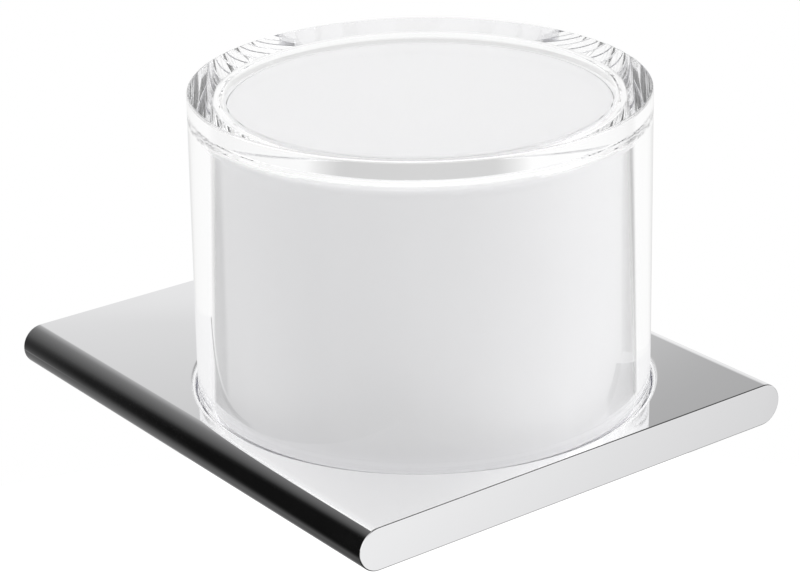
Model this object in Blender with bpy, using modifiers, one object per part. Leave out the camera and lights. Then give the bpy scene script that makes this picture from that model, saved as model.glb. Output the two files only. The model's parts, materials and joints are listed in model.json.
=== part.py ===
"""A lotion dispenser that hangs on a wall and is worked with one hand.

A polished plate with round long edges stands out from the wall. A white container under a thick clear
jacket stands in a round pocket in the plate. Pressing the jacket pushes the container down over a piston
that is fixed to the plate, and the lotion leaves through a nozzle underneath.

The origin is the middle of the face that meets the wall. +Z is up, and -Y is the front.
Sizes are in metres. Heights named *_height are measured from the top of the plate.
"""
import bpy
import bmesh
import math
from mathutils import Matrix, Vector

MM = 0.001

# Clear jacket
JACKET_TOP_RADIUS = 42.5 * MM
JACKET_DRAFT = 0.5 * MM
JACKET_RISE = 57.5 * MM
JACKET_ROOF = 4.9 * MM
JACKET_TOP_WALL = 4.65 * MM
JACKET_FOOT_WALL = 3.05 * MM
JACKET_RIM_FILLET = 0.5 * MM
JACKET_FOOT_FILLET = 0.3 * MM
JACKET_CORNER_FILLET = 2.3 * MM

# Plate, with its two long edges rounded to half circles; a land is the flat between the rim and an edge
PLATE_THICK = 8.2 * MM
SIDE_LAND = 0.75 * MM
FRONT_LAND = 1.4 * MM
WALL_LAND = 22.5 * MM
PLATE_EDGE_BREAK = 0.25 * MM
POCKET_FLOOR_THICK = 1.8 * MM
POCKET_RIM_RADIUS = 1.05 * MM
POCKET_CORNER_RADIUS = 0.3 * MM

# Two slots for the tongues of the wall bracket, and the grub screws that clamp them from below
SLOT_WIDTH = 12.4 * MM
SLOT_HEIGHT = 5.2 * MM
SLOT_DEPTH = 15.0 * MM
SLOT_SPACING = 56.0 * MM
GRUB_RADIUS = 1.5 * MM
GRUB_LENGTH = 2.6 * MM
GRUB_SETBACK = 8.5 * MM
GRUB_SOCKET_FLATS = 1.5 * MM
GRUB_SOCKET_DEPTH = 1.2 * MM
GRUB_POINT_CHAMFER = 0.4 * MM

# White container
CONTAINER_WALL = 1.8 * MM
CONTAINER_EDGE_FILLET = 1.8 * MM
NECK_HEIGHT = 4.0 * MM
NECK_WALL = 4.1 * MM

# Lid of the container
LID_THICK = 1.6 * MM
LID_SEAM_INSET = 1.8 * MM
LID_SKIRT_LENGTH = 3.8 * MM
LID_SKIRT_WALL = 2.1 * MM
LID_EDGE_FILLET = 0.2 * MM
LID_SEAL_RADIUS = 0.55 * MM

# Base of the container, with the foot that carries the jacket
FOOT_THICK = 0.9 * MM
BASE_FLOOR_THICK = 1.5 * MM
BASE_UPSTAND_HEIGHT = 3.0 * MM
BASE_UPSTAND_WALL = 2.4 * MM
BASE_EDGE_FILLET = 0.3 * MM
BASE_SEAL_RADIUS = 0.6 * MM
SPRING_WELL_RADIUS = 25.0 * MM
SPRING_WELL_HEIGHT = 3.0 * MM

# Travel, and the gaps between the pieces
STROKE = 3.0 * MM
REST_GAP = 0.3 * MM
FIT_GAP = 0.3 * MM
SNUG_GAP = 0.2 * MM
RUNNING_GAP = 0.7 * MM
POCKET_CLEARANCE = 0.35 * MM
FOOT_CLEARANCE = 0.55 * MM
JACKET_SIDE_GAP = 0.55 * MM
JACKET_TOP_GAP = 1.9 * MM

# Piston and its stem, which don't move
PISTON_THICK = 3.0 * MM
PISTON_CUP_RADIUS = 9.5 * MM
PISTON_CUP_DEPTH = 1.3 * MM
PISTON_EDGE_FILLET = 0.25 * MM
PISTON_SEAL_HEIGHT = 1.6 * MM
PISTON_SEAL_WIDTH = 1.8 * MM
STEM_RADIUS = 6.5 * MM
STEM_BORE_RADIUS = 2.2 * MM
STEM_FLANGE_REACH = 5.7 * MM
STEM_FLANGE_THICK = 1.6 * MM
STEM_GASKET_THICK = 1.0 * MM

# Pump housing, which moves with the container
HOUSING_WALL = 1.5 * MM
HOUSING_FLANGE_REACH = 3.9 * MM
HOUSING_FLANGE_THICK = 1.3 * MM
HOUSING_GASKET_THICK = 0.8 * MM
HOUSING_SKIRT = 2.6 * MM
CHAMBER_HEADROOM = 0.4 * MM
PORT_RADIUS = 1.0 * MM
PORT_CIRCLE_RADIUS = 5.0 * MM
PORT_COUNT = 6
VALVE_HOLE_RADIUS = 1.3 * MM

# Collar under the housing, which keeps the piston in
COLLAR_WALL = 2.7 * MM
COLLAR_WEB = 0.9 * MM
COLLAR_LIP_THICK = 1.8 * MM
COLLAR_FLOOR_THICK = 1.5 * MM

# Inlet valve, a rubber umbrella under the ports
UMBRELLA_CLEARANCE = 1.5 * MM
UMBRELLA_THICK = 0.8 * MM
UMBRELLA_STEM_RADIUS = 1.0 * MM
UMBRELLA_BULB_RADIUS = 1.8 * MM
UMBRELLA_BULB_HEIGHT = 1.6 * MM

# Air tube, which stands in the well's ceiling and lets air in above the lotion
VENT_RADIUS = 1.6 * MM
VENT_BORE_RADIUS = 0.9 * MM
VENT_TOP_ROOM = 8.7 * MM

# Return spring
SPRING_WIRE_RADIUS = 0.6 * MM
SPRING_TURNS = 3.5

# Washer, nut and nozzle under the plate
WASHER_RADIUS = 10.5 * MM
WASHER_THICK = 1.0 * MM
NUT_FLATS = 19.0 * MM
NUT_THICK = 3.0 * MM
NUT_CHAMFER = 0.5 * MM
SPIGOT_RADIUS = 4.2 * MM
SPIGOT_LENGTH = 2.9 * MM
NOZZLE_RING_RADIUS = 0.5 * MM
NOZZLE_TOP_RADIUS = 7.5 * MM
NOZZLE_TIP_RADIUS = 5.5 * MM
NOZZLE_TIP_LENGTH = 2.2 * MM
NOZZLE_MOUTH_RADIUS = 2.9 * MM
NOZZLE_TIP_FILLET = 0.8 * MM
SLIT_VALVE_WALL = 0.9 * MM
SLIT_VALVE_FLANGE_THICK = 0.8 * MM
SLIT_WIDTH = 0.5 * MM

# Facets and tolerances of the mesh
LARGE_SIDES = 56
HIDDEN_SIDES = 48
MEDIUM_SIDES = 32
SMALL_SIDES = 20
RING_SIDES = 6
HEX_SIDES = 6
FINE_ARC_STEPS = 3
SMALL_ARC_STEPS = 1
SMALL_ARC_RADIUS = 0.45 * MM
EDGE_STEPS = 10
SPRING_POINTS_A_TURN = 12
SHARP_EDGE = math.radians(60)
END_FACE_EDGE = math.radians(80)
CUT_OVERRUN = 2.0 * MM
MERGE_DISTANCE = 0.001 * MM

# Radii and outline that follow from the sizes above
JACKET_FOOT_RADIUS = JACKET_TOP_RADIUS + JACKET_DRAFT
CONTAINER_TOP_RADIUS = JACKET_TOP_RADIUS - JACKET_TOP_WALL - JACKET_SIDE_GAP
CONTAINER_FOOT_RADIUS = JACKET_FOOT_RADIUS - JACKET_FOOT_WALL - JACKET_SIDE_GAP
POCKET_RADIUS = JACKET_FOOT_RADIUS + POCKET_CLEARANCE
RIM_RADIUS = POCKET_RADIUS + POCKET_RIM_RADIUS
PLATE_WIDTH = 2 * (RIM_RADIUS + SIDE_LAND) + PLATE_THICK
WALL_TO_AXIS = RIM_RADIUS + WALL_LAND
PLATE_DEPTH = WALL_TO_AXIS + RIM_RADIUS + FRONT_LAND
STEM_FLANGE_RADIUS = STEM_RADIUS + STEM_FLANGE_REACH
COLLAR_BORE_RADIUS = STEM_FLANGE_RADIUS + RUNNING_GAP
PISTON_RADIUS = COLLAR_BORE_RADIUS + COLLAR_WEB
CHAMBER_RADIUS = PISTON_RADIUS + FIT_GAP
HOUSING_RADIUS = CHAMBER_RADIUS + HOUSING_WALL
COLLAR_RADIUS = HOUSING_RADIUS + FIT_GAP + COLLAR_WALL
UMBRELLA_RADIUS = PISTON_CUP_RADIUS - UMBRELLA_CLEARANCE
SPRING_MEAN_RADIUS = (COLLAR_RADIUS + SPRING_WELL_RADIUS) / 2

# Heights that follow, from the pocket's floor upwards
PLATE_TOP = PLATE_THICK / 2
UNDERSIDE_HEIGHT = -PLATE_THICK
FLOOR_HEIGHT = POCKET_FLOOR_THICK - PLATE_THICK
FOOT_LOW_HEIGHT = FLOOR_HEIGHT + STROKE + REST_GAP
FOOT_TOP_HEIGHT = FOOT_LOW_HEIGHT + FOOT_THICK
SHELL_LOW_HEIGHT = FOOT_TOP_HEIGHT + FIT_GAP
FLANGE_LOW_HEIGHT = FLOOR_HEIGHT + FIT_GAP + STEM_GASKET_THICK + FIT_GAP
FLANGE_TOP_HEIGHT = FLANGE_LOW_HEIGHT + STEM_FLANGE_THICK
PISTON_LOW_HEIGHT = FLANGE_TOP_HEIGHT + REST_GAP + STROKE + COLLAR_LIP_THICK + FIT_GAP
PISTON_TOP_HEIGHT = PISTON_LOW_HEIGHT + PISTON_THICK
CHAMBER_TOP_HEIGHT = PISTON_TOP_HEIGHT + STROKE + CHAMBER_HEADROOM
CEILING_LOW_HEIGHT = SPRING_WELL_HEIGHT
CEILING_TOP_HEIGHT = CEILING_LOW_HEIGHT + BASE_FLOOR_THICK
ROOF_HEIGHT = JACKET_RISE - JACKET_ROOF
CONTAINER_TOP_HEIGHT = ROOF_HEIGHT - JACKET_TOP_GAP
SHANK_LOW_HEIGHT = UNDERSIDE_HEIGHT - WASHER_THICK - NUT_THICK - 3 * FIT_GAP
SPIGOT_LOW_HEIGHT = SHANK_LOW_HEIGHT - SPIGOT_LENGTH

for old in list(bpy.data.objects):
    bpy.data.objects.remove(old)


def new_collection(name):
    """Make an empty collection in the scene."""
    made = bpy.data.collections.new(name)
    bpy.context.scene.collection.children.link(made)
    return made


PARTS = new_collection("lotion_dispenser")
CUTTERS = new_collection("cutters")


def new_material(name, colour, roughness, metallic=0.0, transmission=0.0):
    """One Principled material in the colour and gloss of a real piece."""
    made = bpy.data.materials.new(name)
    made.use_nodes = True
    shader = made.node_tree.nodes["Principled BSDF"]
    shader.inputs["Base Color"].default_value = (*colour, 1.0)
    shader.inputs["Roughness"].default_value = roughness
    shader.inputs["Metallic"].default_value = metallic
    shader.inputs["Transmission Weight"].default_value = transmission
    return made


def new_empty(name, place, parent=None):
    """An empty that stands on a joint's axis."""
    made = bpy.data.objects.new(name, None)
    made.location = place
    made.parent = parent
    PARTS.objects.link(made)
    return made


def round_corners(corners):
    """Turn corners (radius, height, fillet) into points, with an arc at each corner that has a fillet.

    A fillet takes at most half of each side that meets at its corner. The smallest ones get fewer steps.
    """
    points = []
    last = len(corners) - 1
    for index, (radius, height, fillet) in enumerate(corners):
        here = Vector((radius, height))
        if fillet == 0:
            points.append(here)
            continue
        before = Vector(corners[index - 1][:2]) - here
        after = Vector(corners[0 if index == last else index + 1][:2]) - here
        half = before.angle(after) / 2
        reach = min(fillet / math.tan(half), before.length / 2, after.length / 2)
        turn_radius = reach * math.tan(half)
        middle = here + (before.normalized() + after.normalized()).normalized() * turn_radius / math.sin(half)
        start = here + before.normalized() * reach - middle
        end = here + after.normalized() * reach - middle
        sweep = start.angle_signed(end)
        steps = FINE_ARC_STEPS if fillet > SMALL_ARC_RADIUS else SMALL_ARC_STEPS
        for step in range(steps + 1):
            points.append(middle + Matrix.Rotation(-sweep * step / steps, 2) @ start)
    return points


def outer_side_down(points):
    """Order a profile so that its outer side runs from top to bottom, which turns its faces outwards."""
    area = 0
    for index, here in enumerate(points):
        before = points[index - 1]
        area += before.x * here.y - here.x * before.y
    return points[::-1] if area > 0 else points


def plain_corners(*places):
    """Corners without fillets."""
    return [(radius, height, 0) for radius, height in places]


def turned(name, corners, sides, material=None, parent=None, ring=False, cutter=False):
    """A turned solid: a profile carried round the object's Z axis by a Screw modifier.

    A profile starts and ends on the axis, unless the piece is a ring, whose profile closes on itself.
    """
    points = outer_side_down(round_corners(corners))
    mesh = bpy.data.meshes.new(name)
    edges = [(index, index + 1) for index in range(len(points) - 1)]
    if ring:
        edges.append((len(points) - 1, 0))
    mesh.from_pydata([(point.x, 0, point.y) for point in points], edges, [])
    solid = bpy.data.objects.new(name, mesh)
    (CUTTERS if cutter else PARTS).objects.link(solid)
    solid.parent = parent
    screw = solid.modifiers.new("turning", "SCREW")
    screw.axis = "Z"
    screw.angle = math.tau
    screw.steps = sides
    screw.render_steps = sides
    screw.use_smooth_shade = True
    screw.use_merge_vertices = True
    screw.merge_threshold = MERGE_DISTANCE
    if cutter:
        hide(solid)
    else:
        mesh.materials.append(material)
    return solid


def seal_ring(name, centre_radius, centre_height, section_radius, sides, material, parent):
    """A round rubber ring."""
    corners = []
    for step in range(RING_SIDES):
        angle = math.tau * step / RING_SIDES
        corners.append((centre_radius + section_radius * math.cos(angle),
                        centre_height + section_radius * math.sin(angle), 0))
    return turned(name, corners, sides, material, parent, ring=True)


def hide(cutter):
    """Show a cutter as wires only."""
    cutter.hide_render = True
    cutter.display_type = "WIRE"


def prism(name, sides, radius, length, place, turn=(0, 0, 0), parent=None, material=None):
    """A prism or cylinder of equal sides whose radius reaches its corners, centred on its place."""
    mesh = bpy.data.meshes.new(name)
    shape = bmesh.new()
    bmesh.ops.create_cone(shape, cap_ends=True, segments=sides, radius1=radius, radius2=radius, depth=length)
    shape.to_mesh(mesh)
    shape.free()
    solid = bpy.data.objects.new(name, mesh)
    (PARTS if material else CUTTERS).objects.link(solid)
    solid.location = place
    solid.rotation_euler = turn
    solid.parent = parent
    if material:
        mesh.materials.append(material)
    else:
        hide(solid)
    return solid


def hexagon_radius(flats):
    """The radius to a hexagon's corners from its width across the flats."""
    return flats / 2 / math.cos(math.pi / HEX_SIDES)


def cut(solid, cutter):
    """Cut one solid with another."""
    boolean = solid.modifiers.new(cutter.name, "BOOLEAN")
    boolean.operation = "DIFFERENCE"
    boolean.solver = "EXACT"
    boolean.object = cutter


def bevel(solid, width, angle):
    """Break the edges that are sharper than an angle."""
    edge_break = solid.modifiers.new("edge break", "BEVEL")
    edge_break.width = width
    edge_break.segments = 1
    edge_break.limit_method = "ANGLE"
    edge_break.angle_limit = angle


CHROME = new_material("polished_chrome", (0.80, 0.81, 0.83), 0.04, metallic=1.0)
CLEAR = new_material("clear_acrylic", (1.0, 1.0, 1.0), 0.0, transmission=1.0)
WHITE = new_material("white_plastic", (0.90, 0.90, 0.91), 0.35)
NATURAL = new_material("natural_plastic", (0.82, 0.81, 0.77), 0.4)
RUBBER = new_material("seal_rubber", (0.09, 0.09, 0.09), 0.6)
SILICONE = new_material("silicone", (0.72, 0.74, 0.75), 0.5)
STEEL = new_material("stainless_steel", (0.62, 0.62, 0.63), 0.25, metallic=1.0)

# Everything on the pump's axis counts its height from the top of the plate
HOLDER = new_empty("holder", (0, -WALL_TO_AXIS, PLATE_TOP))
PRESS_UNIT = new_empty("press_unit", (0, -WALL_TO_AXIS, PLATE_TOP))
JACKET = new_empty("jacket", (0, 0, 0), parent=PRESS_UNIT)


def container_radius(height):
    """The outside radius of the container's tapered wall at a height."""
    share = (height - SHELL_LOW_HEIGHT) / (CONTAINER_TOP_HEIGHT - SHELL_LOW_HEIGHT)
    return CONTAINER_FOOT_RADIUS + (CONTAINER_TOP_RADIUS - CONTAINER_FOOT_RADIUS) * share


def stadium_bar(name, width, thick, length, material=None):
    """A bar with round long edges: a stadium outline in a 2D curve, drawn out along Y and made a mesh.

    Without a material it is a cutter.
    """
    outline = bpy.data.curves.new(name, "CURVE")
    outline.dimensions = "2D"
    outline.fill_mode = "BOTH"
    outline.extrude = length / 2
    end_radius = thick / 2
    places = []
    for side in (1, -1):
        for step in range(EDGE_STEPS + 1):
            angle = math.pi * step / EDGE_STEPS - math.pi / 2
            places.append((side * (width / 2 - end_radius + end_radius * math.cos(angle)),
                           side * end_radius * math.sin(angle)))
    spline = outline.splines.new("POLY")
    spline.points.add(len(places) - 1)
    for point, (across, up) in zip(spline.points, places):
        point.co = (across, up, 0, 1)
    spline.use_cyclic_u = True
    drawn = bpy.data.objects.new(name, outline)
    PARTS.objects.link(drawn)
    drawn.rotation_euler.x = math.pi / 2
    bpy.context.view_layer.update()
    evaluated = drawn.evaluated_get(bpy.context.evaluated_depsgraph_get())
    mesh = bpy.data.meshes.new_from_object(evaluated)
    shape = bmesh.new()
    shape.from_mesh(mesh)
    bmesh.ops.remove_doubles(shape, verts=shape.verts, dist=MERGE_DISTANCE)
    shape.to_mesh(mesh)
    shape.free()
    turned_upright = drawn.matrix_world.copy()
    bpy.data.objects.remove(drawn)
    solid = bpy.data.objects.new(name, mesh)
    solid.matrix_world = turned_upright
    mesh.materials.clear()
    if material:
        PARTS.objects.link(solid)
        mesh.materials.append(material)
    else:
        CUTTERS.objects.link(solid)
        hide(solid)
    return solid


def make_plate():
    """The plate: a round-edged bar with the pocket, the stem's hole and the wall bracket's slots cut out."""
    plate = stadium_bar("holder_plate", PLATE_WIDTH, PLATE_THICK, PLATE_DEPTH, CHROME)
    plate.location.y = -PLATE_DEPTH / 2
    bevel(plate, PLATE_EDGE_BREAK, SHARP_EDGE)

    rim = []
    for step in range(FINE_ARC_STEPS + 1):
        angle = math.pi / 2 * step / FINE_ARC_STEPS
        rim.append((RIM_RADIUS - POCKET_RIM_RADIUS * math.sin(angle),
                    POCKET_RIM_RADIUS * (math.cos(angle) - 1), 0))
    pocket = turned("pocket_cutter", [(0, CUT_OVERRUN, 0), (RIM_RADIUS, CUT_OVERRUN, 0), *rim,
                                      (POCKET_RADIUS, FLOOR_HEIGHT, POCKET_CORNER_RADIUS),
                                      (0, FLOOR_HEIGHT, 0)], LARGE_SIDES, parent=HOLDER, cutter=True)
    cut(plate, pocket)
    cut(plate, prism("stem_hole_cutter", MEDIUM_SIDES, STEM_RADIUS + FIT_GAP,
                     POCKET_FLOOR_THICK + 2 * CUT_OVERRUN,
                     (0, 0, FLOOR_HEIGHT - POCKET_FLOOR_THICK / 2), parent=HOLDER))
    for side, word in ((-1, "left"), (1, "right")):
        slot = stadium_bar(f"slot_cutter_{word}", SLOT_WIDTH, SLOT_HEIGHT, SLOT_DEPTH + CUT_OVERRUN)
        slot.location = (side * SLOT_SPACING / 2, (CUT_OVERRUN - SLOT_DEPTH) / 2, 0)
        cut(plate, slot)
        cut(plate, prism(f"grub_hole_cutter_{word}", SMALL_SIDES, GRUB_RADIUS + SNUG_GAP,
                         PLATE_THICK / 2 + CUT_OVERRUN,
                         (side * SLOT_SPACING / 2, -GRUB_SETBACK, -(PLATE_THICK / 2 + CUT_OVERRUN) / 2)))


def make_grub_screws():
    """Socket set screws that clamp the wall bracket's tongues from below."""
    for side, word in ((-1, "left"), (1, "right")):
        middle = REST_GAP + GRUB_LENGTH / 2 - PLATE_THICK / 2
        screw = prism(f"hanger_screw_{word}", SMALL_SIDES, GRUB_RADIUS, GRUB_LENGTH,
                      (side * SLOT_SPACING / 2, -GRUB_SETBACK, middle), material=STEEL)
        bevel(screw, GRUB_POINT_CHAMFER, SHARP_EDGE)
        socket = prism(f"socket_cutter_{word}", HEX_SIDES, hexagon_radius(GRUB_SOCKET_FLATS),
                       GRUB_SOCKET_DEPTH + CUT_OVERRUN,
                       (side * SLOT_SPACING / 2, -GRUB_SETBACK,
                        middle - (GRUB_LENGTH + CUT_OVERRUN - GRUB_SOCKET_DEPTH) / 2))
        cut(screw, socket)


def make_piston():
    """The hollow stem and piston in one moulding, its seal, and the gasket on the pocket's floor."""
    groove_middle = PISTON_LOW_HEIGHT + PISTON_THICK / 2
    groove_low = groove_middle - PISTON_SEAL_HEIGHT / 2 - SNUG_GAP
    groove_top = groove_middle + PISTON_SEAL_HEIGHT / 2 + SNUG_GAP
    seal_outer = CHAMBER_RADIUS - SNUG_GAP
    groove_radius = seal_outer - PISTON_SEAL_WIDTH - SNUG_GAP
    ring_radius = SPIGOT_RADIUS + FIT_GAP - SNUG_GAP - NOZZLE_RING_RADIUS
    ring_groove_radius = ring_radius - NOZZLE_RING_RADIUS - SNUG_GAP
    ring_middle = SHANK_LOW_HEIGHT - SPIGOT_LENGTH / 2
    ring_half = NOZZLE_RING_RADIUS + SNUG_GAP
    cup_height = PISTON_TOP_HEIGHT - PISTON_CUP_DEPTH
    turned("piston_stem", [
        (STEM_BORE_RADIUS, cup_height, 0),
        (PISTON_CUP_RADIUS, cup_height, 0), (PISTON_CUP_RADIUS, PISTON_TOP_HEIGHT, 0),
        (PISTON_RADIUS, PISTON_TOP_HEIGHT, PISTON_EDGE_FILLET),
        *plain_corners((PISTON_RADIUS, groove_top), (groove_radius, groove_top),
                       (groove_radius, groove_low), (PISTON_RADIUS, groove_low)),
        (PISTON_RADIUS, PISTON_LOW_HEIGHT, PISTON_EDGE_FILLET),
        (STEM_RADIUS, PISTON_LOW_HEIGHT, 0), (STEM_RADIUS, FLANGE_TOP_HEIGHT, 0),
        (STEM_FLANGE_RADIUS, FLANGE_TOP_HEIGHT, PISTON_EDGE_FILLET),
        *plain_corners((STEM_FLANGE_RADIUS, FLANGE_LOW_HEIGHT),
                       (STEM_RADIUS, FLANGE_LOW_HEIGHT), (STEM_RADIUS, SHANK_LOW_HEIGHT),
                       (SPIGOT_RADIUS, SHANK_LOW_HEIGHT), (SPIGOT_RADIUS, ring_middle + ring_half),
                       (ring_groove_radius, ring_middle + ring_half),
                       (ring_groove_radius, ring_middle - ring_half),
                       (SPIGOT_RADIUS, ring_middle - ring_half), (SPIGOT_RADIUS, SPIGOT_LOW_HEIGHT),
                       (STEM_BORE_RADIUS, SPIGOT_LOW_HEIGHT)),
    ], MEDIUM_SIDES, NATURAL, HOLDER, ring=True)
    lip = PISTON_SEAL_HEIGHT / 4
    seal_low = groove_low + SNUG_GAP
    seal_top = groove_top - SNUG_GAP
    seal_inner = groove_radius + SNUG_GAP
    turned("piston_seal", [
        (seal_inner, seal_low, 0), (seal_inner, seal_top, 0),
        (seal_inner + PISTON_SEAL_WIDTH / 2, seal_top - lip, lip),
        (seal_outer, seal_top, 0), (seal_outer, seal_low, lip),
    ], MEDIUM_SIDES, RUBBER, HOLDER, ring=True)
    gasket_low = FLOOR_HEIGHT + FIT_GAP
    turned("stem_gasket", plain_corners(
        (STEM_RADIUS + FIT_GAP, gasket_low), (STEM_RADIUS + FIT_GAP, gasket_low + STEM_GASKET_THICK),
        (STEM_FLANGE_RADIUS - SNUG_GAP, gasket_low + STEM_GASKET_THICK),
        (STEM_FLANGE_RADIUS - SNUG_GAP, gasket_low),
    ), MEDIUM_SIDES, RUBBER, HOLDER, ring=True)
    seal_ring("nozzle_seal", ring_radius, ring_middle, NOZZLE_RING_RADIUS, SMALL_SIDES, RUBBER, HOLDER)


def make_nut_and_washer():
    """The washer and the six-sided nut that clamp the stem to the plate from below."""
    washer_top = UNDERSIDE_HEIGHT - FIT_GAP
    inner = STEM_RADIUS + FIT_GAP
    turned("stem_washer", plain_corners(
        (inner, washer_top), (WASHER_RADIUS, washer_top),
        (WASHER_RADIUS, washer_top - WASHER_THICK), (inner, washer_top - WASHER_THICK),
    ), MEDIUM_SIDES, STEEL, HOLDER, ring=True)
    middle = washer_top - WASHER_THICK - FIT_GAP - NUT_THICK / 2
    nut = prism("stem_nut", HEX_SIDES, hexagon_radius(NUT_FLATS), NUT_THICK, (0, 0, middle),
                parent=HOLDER, material=STEEL)
    bevel(nut, NUT_CHAMFER, END_FACE_EDGE)
    hole = prism("nut_hole_cutter", MEDIUM_SIDES, inner, NUT_THICK + 2 * CUT_OVERRUN, (0, 0, middle),
                 parent=HOLDER)
    cut(nut, hole)


def make_nozzle():
    """The nozzle that pushes on to the spigot, and the slit valve that it clamps."""
    top = SHANK_LOW_HEIGHT - FIT_GAP
    flange_top = SPIGOT_LOW_HEIGHT - FIT_GAP
    flange_low = flange_top - SLIT_VALVE_FLANGE_THICK
    shoulder = flange_low - FIT_GAP
    tip = shoulder - NOZZLE_TIP_LENGTH
    socket_radius = SPIGOT_RADIUS + FIT_GAP
    turned("outlet_nozzle", [
        (socket_radius, top, 0), (NOZZLE_TOP_RADIUS, top, PISTON_EDGE_FILLET),
        (NOZZLE_TOP_RADIUS, shoulder, NOZZLE_TIP_FILLET), (NOZZLE_TIP_RADIUS, tip, NOZZLE_TIP_FILLET),
        *plain_corners((NOZZLE_MOUTH_RADIUS, tip), (NOZZLE_MOUTH_RADIUS, shoulder),
                       (socket_radius, shoulder)),
    ], MEDIUM_SIDES, CHROME, HOLDER, ring=True)
    tube_radius = NOZZLE_MOUTH_RADIUS - FIT_GAP
    bore_radius = tube_radius - SLIT_VALVE_WALL
    valve_low = tip + FIT_GAP
    valve = turned("outlet_valve", [
        (0, valve_low + SLIT_VALVE_WALL, 0), (bore_radius, valve_low + SLIT_VALVE_WALL, 0),
        (bore_radius, flange_top, 0), (SPIGOT_RADIUS, flange_top, 0), (SPIGOT_RADIUS, flange_low, 0),
        (tube_radius, flange_low, 0), (tube_radius, valve_low, SLIT_VALVE_WALL), (0, valve_low, 0),
    ], SMALL_SIDES, SILICONE, HOLDER)
    slit_mesh = bpy.data.meshes.new("slit_cutter")
    shape = bmesh.new()
    bmesh.ops.create_cube(shape, size=1)
    bmesh.ops.scale(shape, verts=shape.verts,
                    vec=(2 * bore_radius - SLIT_WIDTH, SLIT_WIDTH, SLIT_VALVE_WALL + 2 * FIT_GAP))
    shape.to_mesh(slit_mesh)
    shape.free()
    slit = bpy.data.objects.new("slit_cutter", slit_mesh)
    CUTTERS.objects.link(slit)
    slit.parent = HOLDER
    slit.location.z = valve_low + SLIT_VALVE_WALL / 2
    hide(slit)
    cut(valve, slit)


def make_spring():
    """The return spring, one helix tube between the pocket's floor and the well in the base."""
    low = FLOOR_HEIGHT + FIT_GAP + SPRING_WIRE_RADIUS
    top = CEILING_LOW_HEIGHT - FIT_GAP - SPRING_WIRE_RADIUS
    count = round(SPRING_TURNS * SPRING_POINTS_A_TURN)
    places = []
    for step in range(count + 1):
        share = step / count
        angle = math.tau * SPRING_TURNS * share
        places.append(Vector((SPRING_MEAN_RADIUS * math.cos(angle), SPRING_MEAN_RADIUS * math.sin(angle),
                              low + (top - low) * share)))
    wire = bpy.data.curves.new("return_spring", "CURVE")
    wire.dimensions = "3D"
    wire.bevel_depth = SPRING_WIRE_RADIUS
    wire.bevel_resolution = 1
    wire.use_fill_caps = True
    spline = wire.splines.new("POLY")
    spline.points.add(count)
    for point, place in zip(spline.points, places):
        point.co = (*place, 1)
    spring = bpy.data.objects.new("return_spring", wire)
    PARTS.objects.link(spring)
    spring.parent = HOLDER
    wire.materials.append(STEEL)
    gaps = [(places[first] - places[second]).length
            for first in range(count + 1)
            for second in range(first + SPRING_POINTS_A_TURN // 2, count + 1)]
    print(f"least gap between the spring's turns: {(min(gaps) - 2 * SPRING_WIRE_RADIUS) / MM:.2f} mm")


def make_container():
    """The tapered white container, open at the foot, with a ledge and neck at the top for its lid."""
    seam_radius = CONTAINER_TOP_RADIUS - LID_SEAM_INSET
    neck_radius = CONTAINER_TOP_RADIUS - NECK_WALL
    ledge_height = CONTAINER_TOP_HEIGHT - LID_THICK - FIT_GAP
    neck_low = ledge_height - NECK_HEIGHT
    inner_top = container_radius(neck_low) - CONTAINER_WALL
    slope_low = neck_low - (inner_top - neck_radius)
    turned("container", [
        (CONTAINER_FOOT_RADIUS, SHELL_LOW_HEIGHT, 0),
        (CONTAINER_TOP_RADIUS, CONTAINER_TOP_HEIGHT, CONTAINER_EDGE_FILLET),
        *plain_corners((seam_radius, CONTAINER_TOP_HEIGHT), (seam_radius, ledge_height),
                       (neck_radius, ledge_height), (neck_radius, neck_low),
                       (container_radius(slope_low) - CONTAINER_WALL, slope_low),
                       (CONTAINER_FOOT_RADIUS - CONTAINER_WALL, SHELL_LOW_HEIGHT)),
    ], LARGE_SIDES, WHITE, PRESS_UNIT, ring=True)


def make_lid():
    """The flush lid, whose skirt carries a sealing ring in the container's neck."""
    lid_radius = CONTAINER_TOP_RADIUS - LID_SEAM_INSET - FIT_GAP
    lid_low = CONTAINER_TOP_HEIGHT - LID_THICK
    neck_radius = CONTAINER_TOP_RADIUS - NECK_WALL
    skirt_radius = neck_radius - FIT_GAP
    seal_middle = lid_low - LID_SKIRT_LENGTH / 2
    groove_half = LID_SEAL_RADIUS + SNUG_GAP
    ring_radius = neck_radius - SNUG_GAP - LID_SEAL_RADIUS
    groove_radius = ring_radius - LID_SEAL_RADIUS - SNUG_GAP
    turned("container_lid", [
        (0, CONTAINER_TOP_HEIGHT, 0), (lid_radius, CONTAINER_TOP_HEIGHT, LID_EDGE_FILLET),
        *plain_corners((lid_radius, lid_low), (skirt_radius, lid_low),
                       (skirt_radius, seal_middle + groove_half), (groove_radius, seal_middle + groove_half),
                       (groove_radius, seal_middle - groove_half), (skirt_radius, seal_middle - groove_half),
                       (skirt_radius, lid_low - LID_SKIRT_LENGTH),
                       (skirt_radius - LID_SKIRT_WALL, lid_low - LID_SKIRT_LENGTH),
                       (skirt_radius - LID_SKIRT_WALL, lid_low), (0, lid_low)),
    ], LARGE_SIDES, WHITE, PRESS_UNIT)
    seal_ring("lid_seal", ring_radius, seal_middle, LID_SEAL_RADIUS, HIDDEN_SIDES, SILICONE, PRESS_UNIT)


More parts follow.
